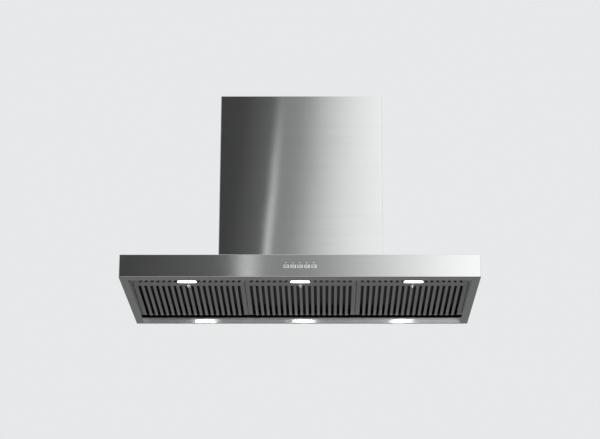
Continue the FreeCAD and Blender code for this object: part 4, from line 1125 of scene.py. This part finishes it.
motorSet = {
    "axis": (-0.151, 0.203),
    "radius": 0.042,
    "seams": (-0.092, -0.088, -0.028),
    # (out, along) from the motor's face at the middle of a seam
    "seam": [(-0.0003, -0.0014), (0.0006, 0), (-0.0003, 0.0014), (-0.0003, -0.0014)],
    "bolts": 4,
    "boltRadius": 0.034,
    "bolt": [(0, -0.1062), (0.002, -0.1062), (0.0025, -0.1054), (0.0025, -0.1038), (0, -0.1038)],
}


def makeMotorTrim():
    # rolled seams and through bolts of the motor, drawn along Z and laid along X
    radius = motorSet["radius"]
    trim = bmesh.new()
    for level in motorSet["seams"]:
        seam = [(radius + out, level + along) for out, along in motorSet["seam"]]
        joinShape(trim, turnShape(seam, 64))
    count = motorSet["bolts"]
    out = moved(motorSet["boltRadius"], 0, 0)
    turns = [turned("Z", (step + 0.5) * 360 / count) @ out for step in range(count)]
    joinShape(trim, turnShape(motorSet["bolt"], 16), turns)
    place = moved(0, *motorSet["axis"]) @ turned("Y", 90)
    bmesh.ops.transform(trim, matrix=place, verts=trim.verts)
    finishPiece("motorTrim", trim, "hood", "motor_paint")


mendCanopy()
makeLamps()
makeKnobs()
makeWelds()
makeButtons()
makeScrews()
makeCollarTrim()
makeDamperTrim()
makeBlowerTrim()
makeCoverTrim()
makeDriverTrim()
makeMotorTrim()

studio = {
    "floorLevel": -1.75,
    "floorReach": 40,
    "floorColour": (0.8, 0.8, 0.8, 1),
    "floorRoughness": 0.7,
    "floorGlow": 0.4,
    "backgroundColour": (0.8, 0.81, 0.82, 1),
    "lightStrength": 0.55,
}


def stageSheet(name, start, end, material, seenByCamera=False):
    # an upright or level sheet between two opposite corners
    first, second = [axis for axis in range(3) if start[axis] != end[axis]]
    corners = [list(start) for corner in range(4)]
    for index in (1, 2):
        corners[index][first] = end[first]
    for index in (2, 3):
        corners[index][second] = end[second]
    mesh = bpy.data.meshes.new(name)
    sheet = bmesh.new()
    sheet.faces.new([sheet.verts.new(corner) for corner in corners])
    sheet.to_mesh(mesh)
    sheet.free()
    mesh.materials.append(material)
    card = bpy.data.objects.new(name, mesh)
    bpy.context.scene.collection.objects.link(card)
    card.visible_camera = seenByCamera


def clearTree(material):
    material.use_nodes = True
    tree = material.node_tree
    tree.nodes.clear()
    return tree, addNode(tree, "ShaderNodeOutputMaterial")


def seenRays(tree):
    # one for rays that show the background, straight or in a mirror or glass
    path = addNode(tree, "ShaderNodeLightPath")
    seen = calculate(tree, "MAXIMUM", path.outputs["Is Camera Ray"], path.outputs["Is Glossy Ray"])
    return calculate(tree, "MAXIMUM", seen, path.outputs["Is Transmission Ray"])


def makeFloor():
    # seen from above only, so that views from below look through it
    material = bpy.data.materials.new("paleFloor")
    tree, output = clearTree(material)
    shader = addNode(tree, "ShaderNodeBsdfPrincipled")
    shader.inputs["Base Color"].default_value = studio["floorColour"]
    shader.inputs["Roughness"].default_value = studio["floorRoughness"]
    shader.inputs["Emission Color"].default_value = studio["floorColour"]
    glow = calculate(tree, "MULTIPLY", seenRays(tree), studio["floorGlow"])
    tree.links.new(glow, shader.inputs["Emission Strength"])
    clear = addNode(tree, "ShaderNodeBsdfTransparent")
    choice = addNode(tree, "ShaderNodeMixShader")
    facing = addNode(tree, "ShaderNodeNewGeometry")
    tree.links.new(facing.outputs["Backfacing"], choice.inputs[0])
    tree.links.new(shader.outputs[0], choice.inputs[1])
    tree.links.new(clear.outputs[0], choice.inputs[2])
    tree.links.new(choice.outputs[0], output.inputs["Surface"])
    far, level = studio["floorReach"], studio["floorLevel"]
    stageSheet("floor", (-far, -far, level), (far, far, level), material, seenByCamera=True)


def makeWorld():
    world = bpy.data.worlds.new("paleRoom")
    bpy.context.scene.world = world
    world.use_nodes = True
    tree = world.node_tree
    back = tree.nodes["Background"]
    back.inputs["Color"].default_value = studio["backgroundColour"]
    light = studio["lightStrength"]
    strength = calculate(tree, "MULTIPLY_ADD", seenRays(tree), 1 - light, light)
    tree.links.new(strength, back.inputs["Strength"])


softWall = {
    "reach": 3,
    "distance": -8,
    "levels": (-1.7, 8),
    # brightness from left to right, by X
    "lights": [
        (-3, 0.055),
        (-1.49, 0.07),
        (-1.0, 0.12),
        (-0.64, 0.15),
        (-0.40, 0.31),
        (-0.08, 0.36),
        (0.1, 0.47),
        (0.3, 0.67),
        (0.67, 1.06),
        (1.05, 1.4),
        (1.3, 1.55),
        (3, 1.6),
    ],
}


def makeSoftWall():
    # a large fabric wall behind the camera, lit from its right
    reach, distance = softWall["reach"], softWall["distance"]
    low, high = softWall["levels"]
    material = bpy.data.materials.new("softWall")
    tree, output = clearTree(material)
    place = addNode(tree, "ShaderNodeTexCoord")
    split = addNode(tree, "ShaderNodeSeparateXYZ")
    tree.links.new(place.outputs["Object"], split.inputs[0])
    ramp = addNode(tree, "ShaderNodeFloatCurve")
    curve = ramp.mapping.curves[0]
    top = max(light for spot, light in softWall["lights"])
    for index, (spot, light) in enumerate(softWall["lights"]):
        where = ((spot + reach) / (2 * reach), light / top)
        point = curve.points[index] if index < 2 else curve.points.new(*where)
        point.location = where
        point.handle_type = "VECTOR"
    ramp.mapping.update()
    share = calculate(tree, "MULTIPLY_ADD", split.outputs["X"], 1 / (2 * reach), 0.5)
    tree.links.new(share, ramp.inputs["Value"])
    light = addNode(tree, "ShaderNodeEmission")
    tree.links.new(calculate(tree, "MULTIPLY", ramp.outputs[0], top), light.inputs["Strength"])
    tree.links.new(light.outputs[0], output.inputs["Surface"])
    stageSheet("softWall", (-reach, distance, low), (reach, distance, high), material)


# two opposite corners and strength of each card
cards = {
    "slimWindow": ((-0.58, -7.95, -1.7), (-0.45, -7.95, 3.4), 1),
    "topBox": ((-2.5, -4, 4.5), (2.5, 2, 4.5), 1.1),
    "rightBox": ((8, -5, 0.5), (8, 1, 5), 1.6),
    # grey, low behind the hood, which the underside mirrors as it would a kitchen wall
    "backCard": ((-4, 1.2, -1.7), (4, 1.2, -0.05), 0.2),
    # dark, below the hood
    "lowCard": ((-1.4, -1, -0.9), (1.4, 1, -0.9), 0.05),
}


def makeCard(name, start, end, strength):
    material = bpy.data.materials.new(name)
    tree, output = clearTree(material)
    light = addNode(tree, "ShaderNodeEmission")
    light.inputs["Strength"].default_value = strength
    tree.links.new(light.outputs[0], output.inputs["Surface"])
    stageSheet(name, start, end, material)


makeFloor()
makeWorld()
makeSoftWall()
for name, details in cards.items():
    makeCard(name, *details)
# these only show in what mirrors them
for name in ("softWall", "slimWindow", "backCard", "lowCard"):
    card = bpy.data.objects[name]
    card.visible_diffuse = False
    card.visible_shadow = False
print("studio lit")
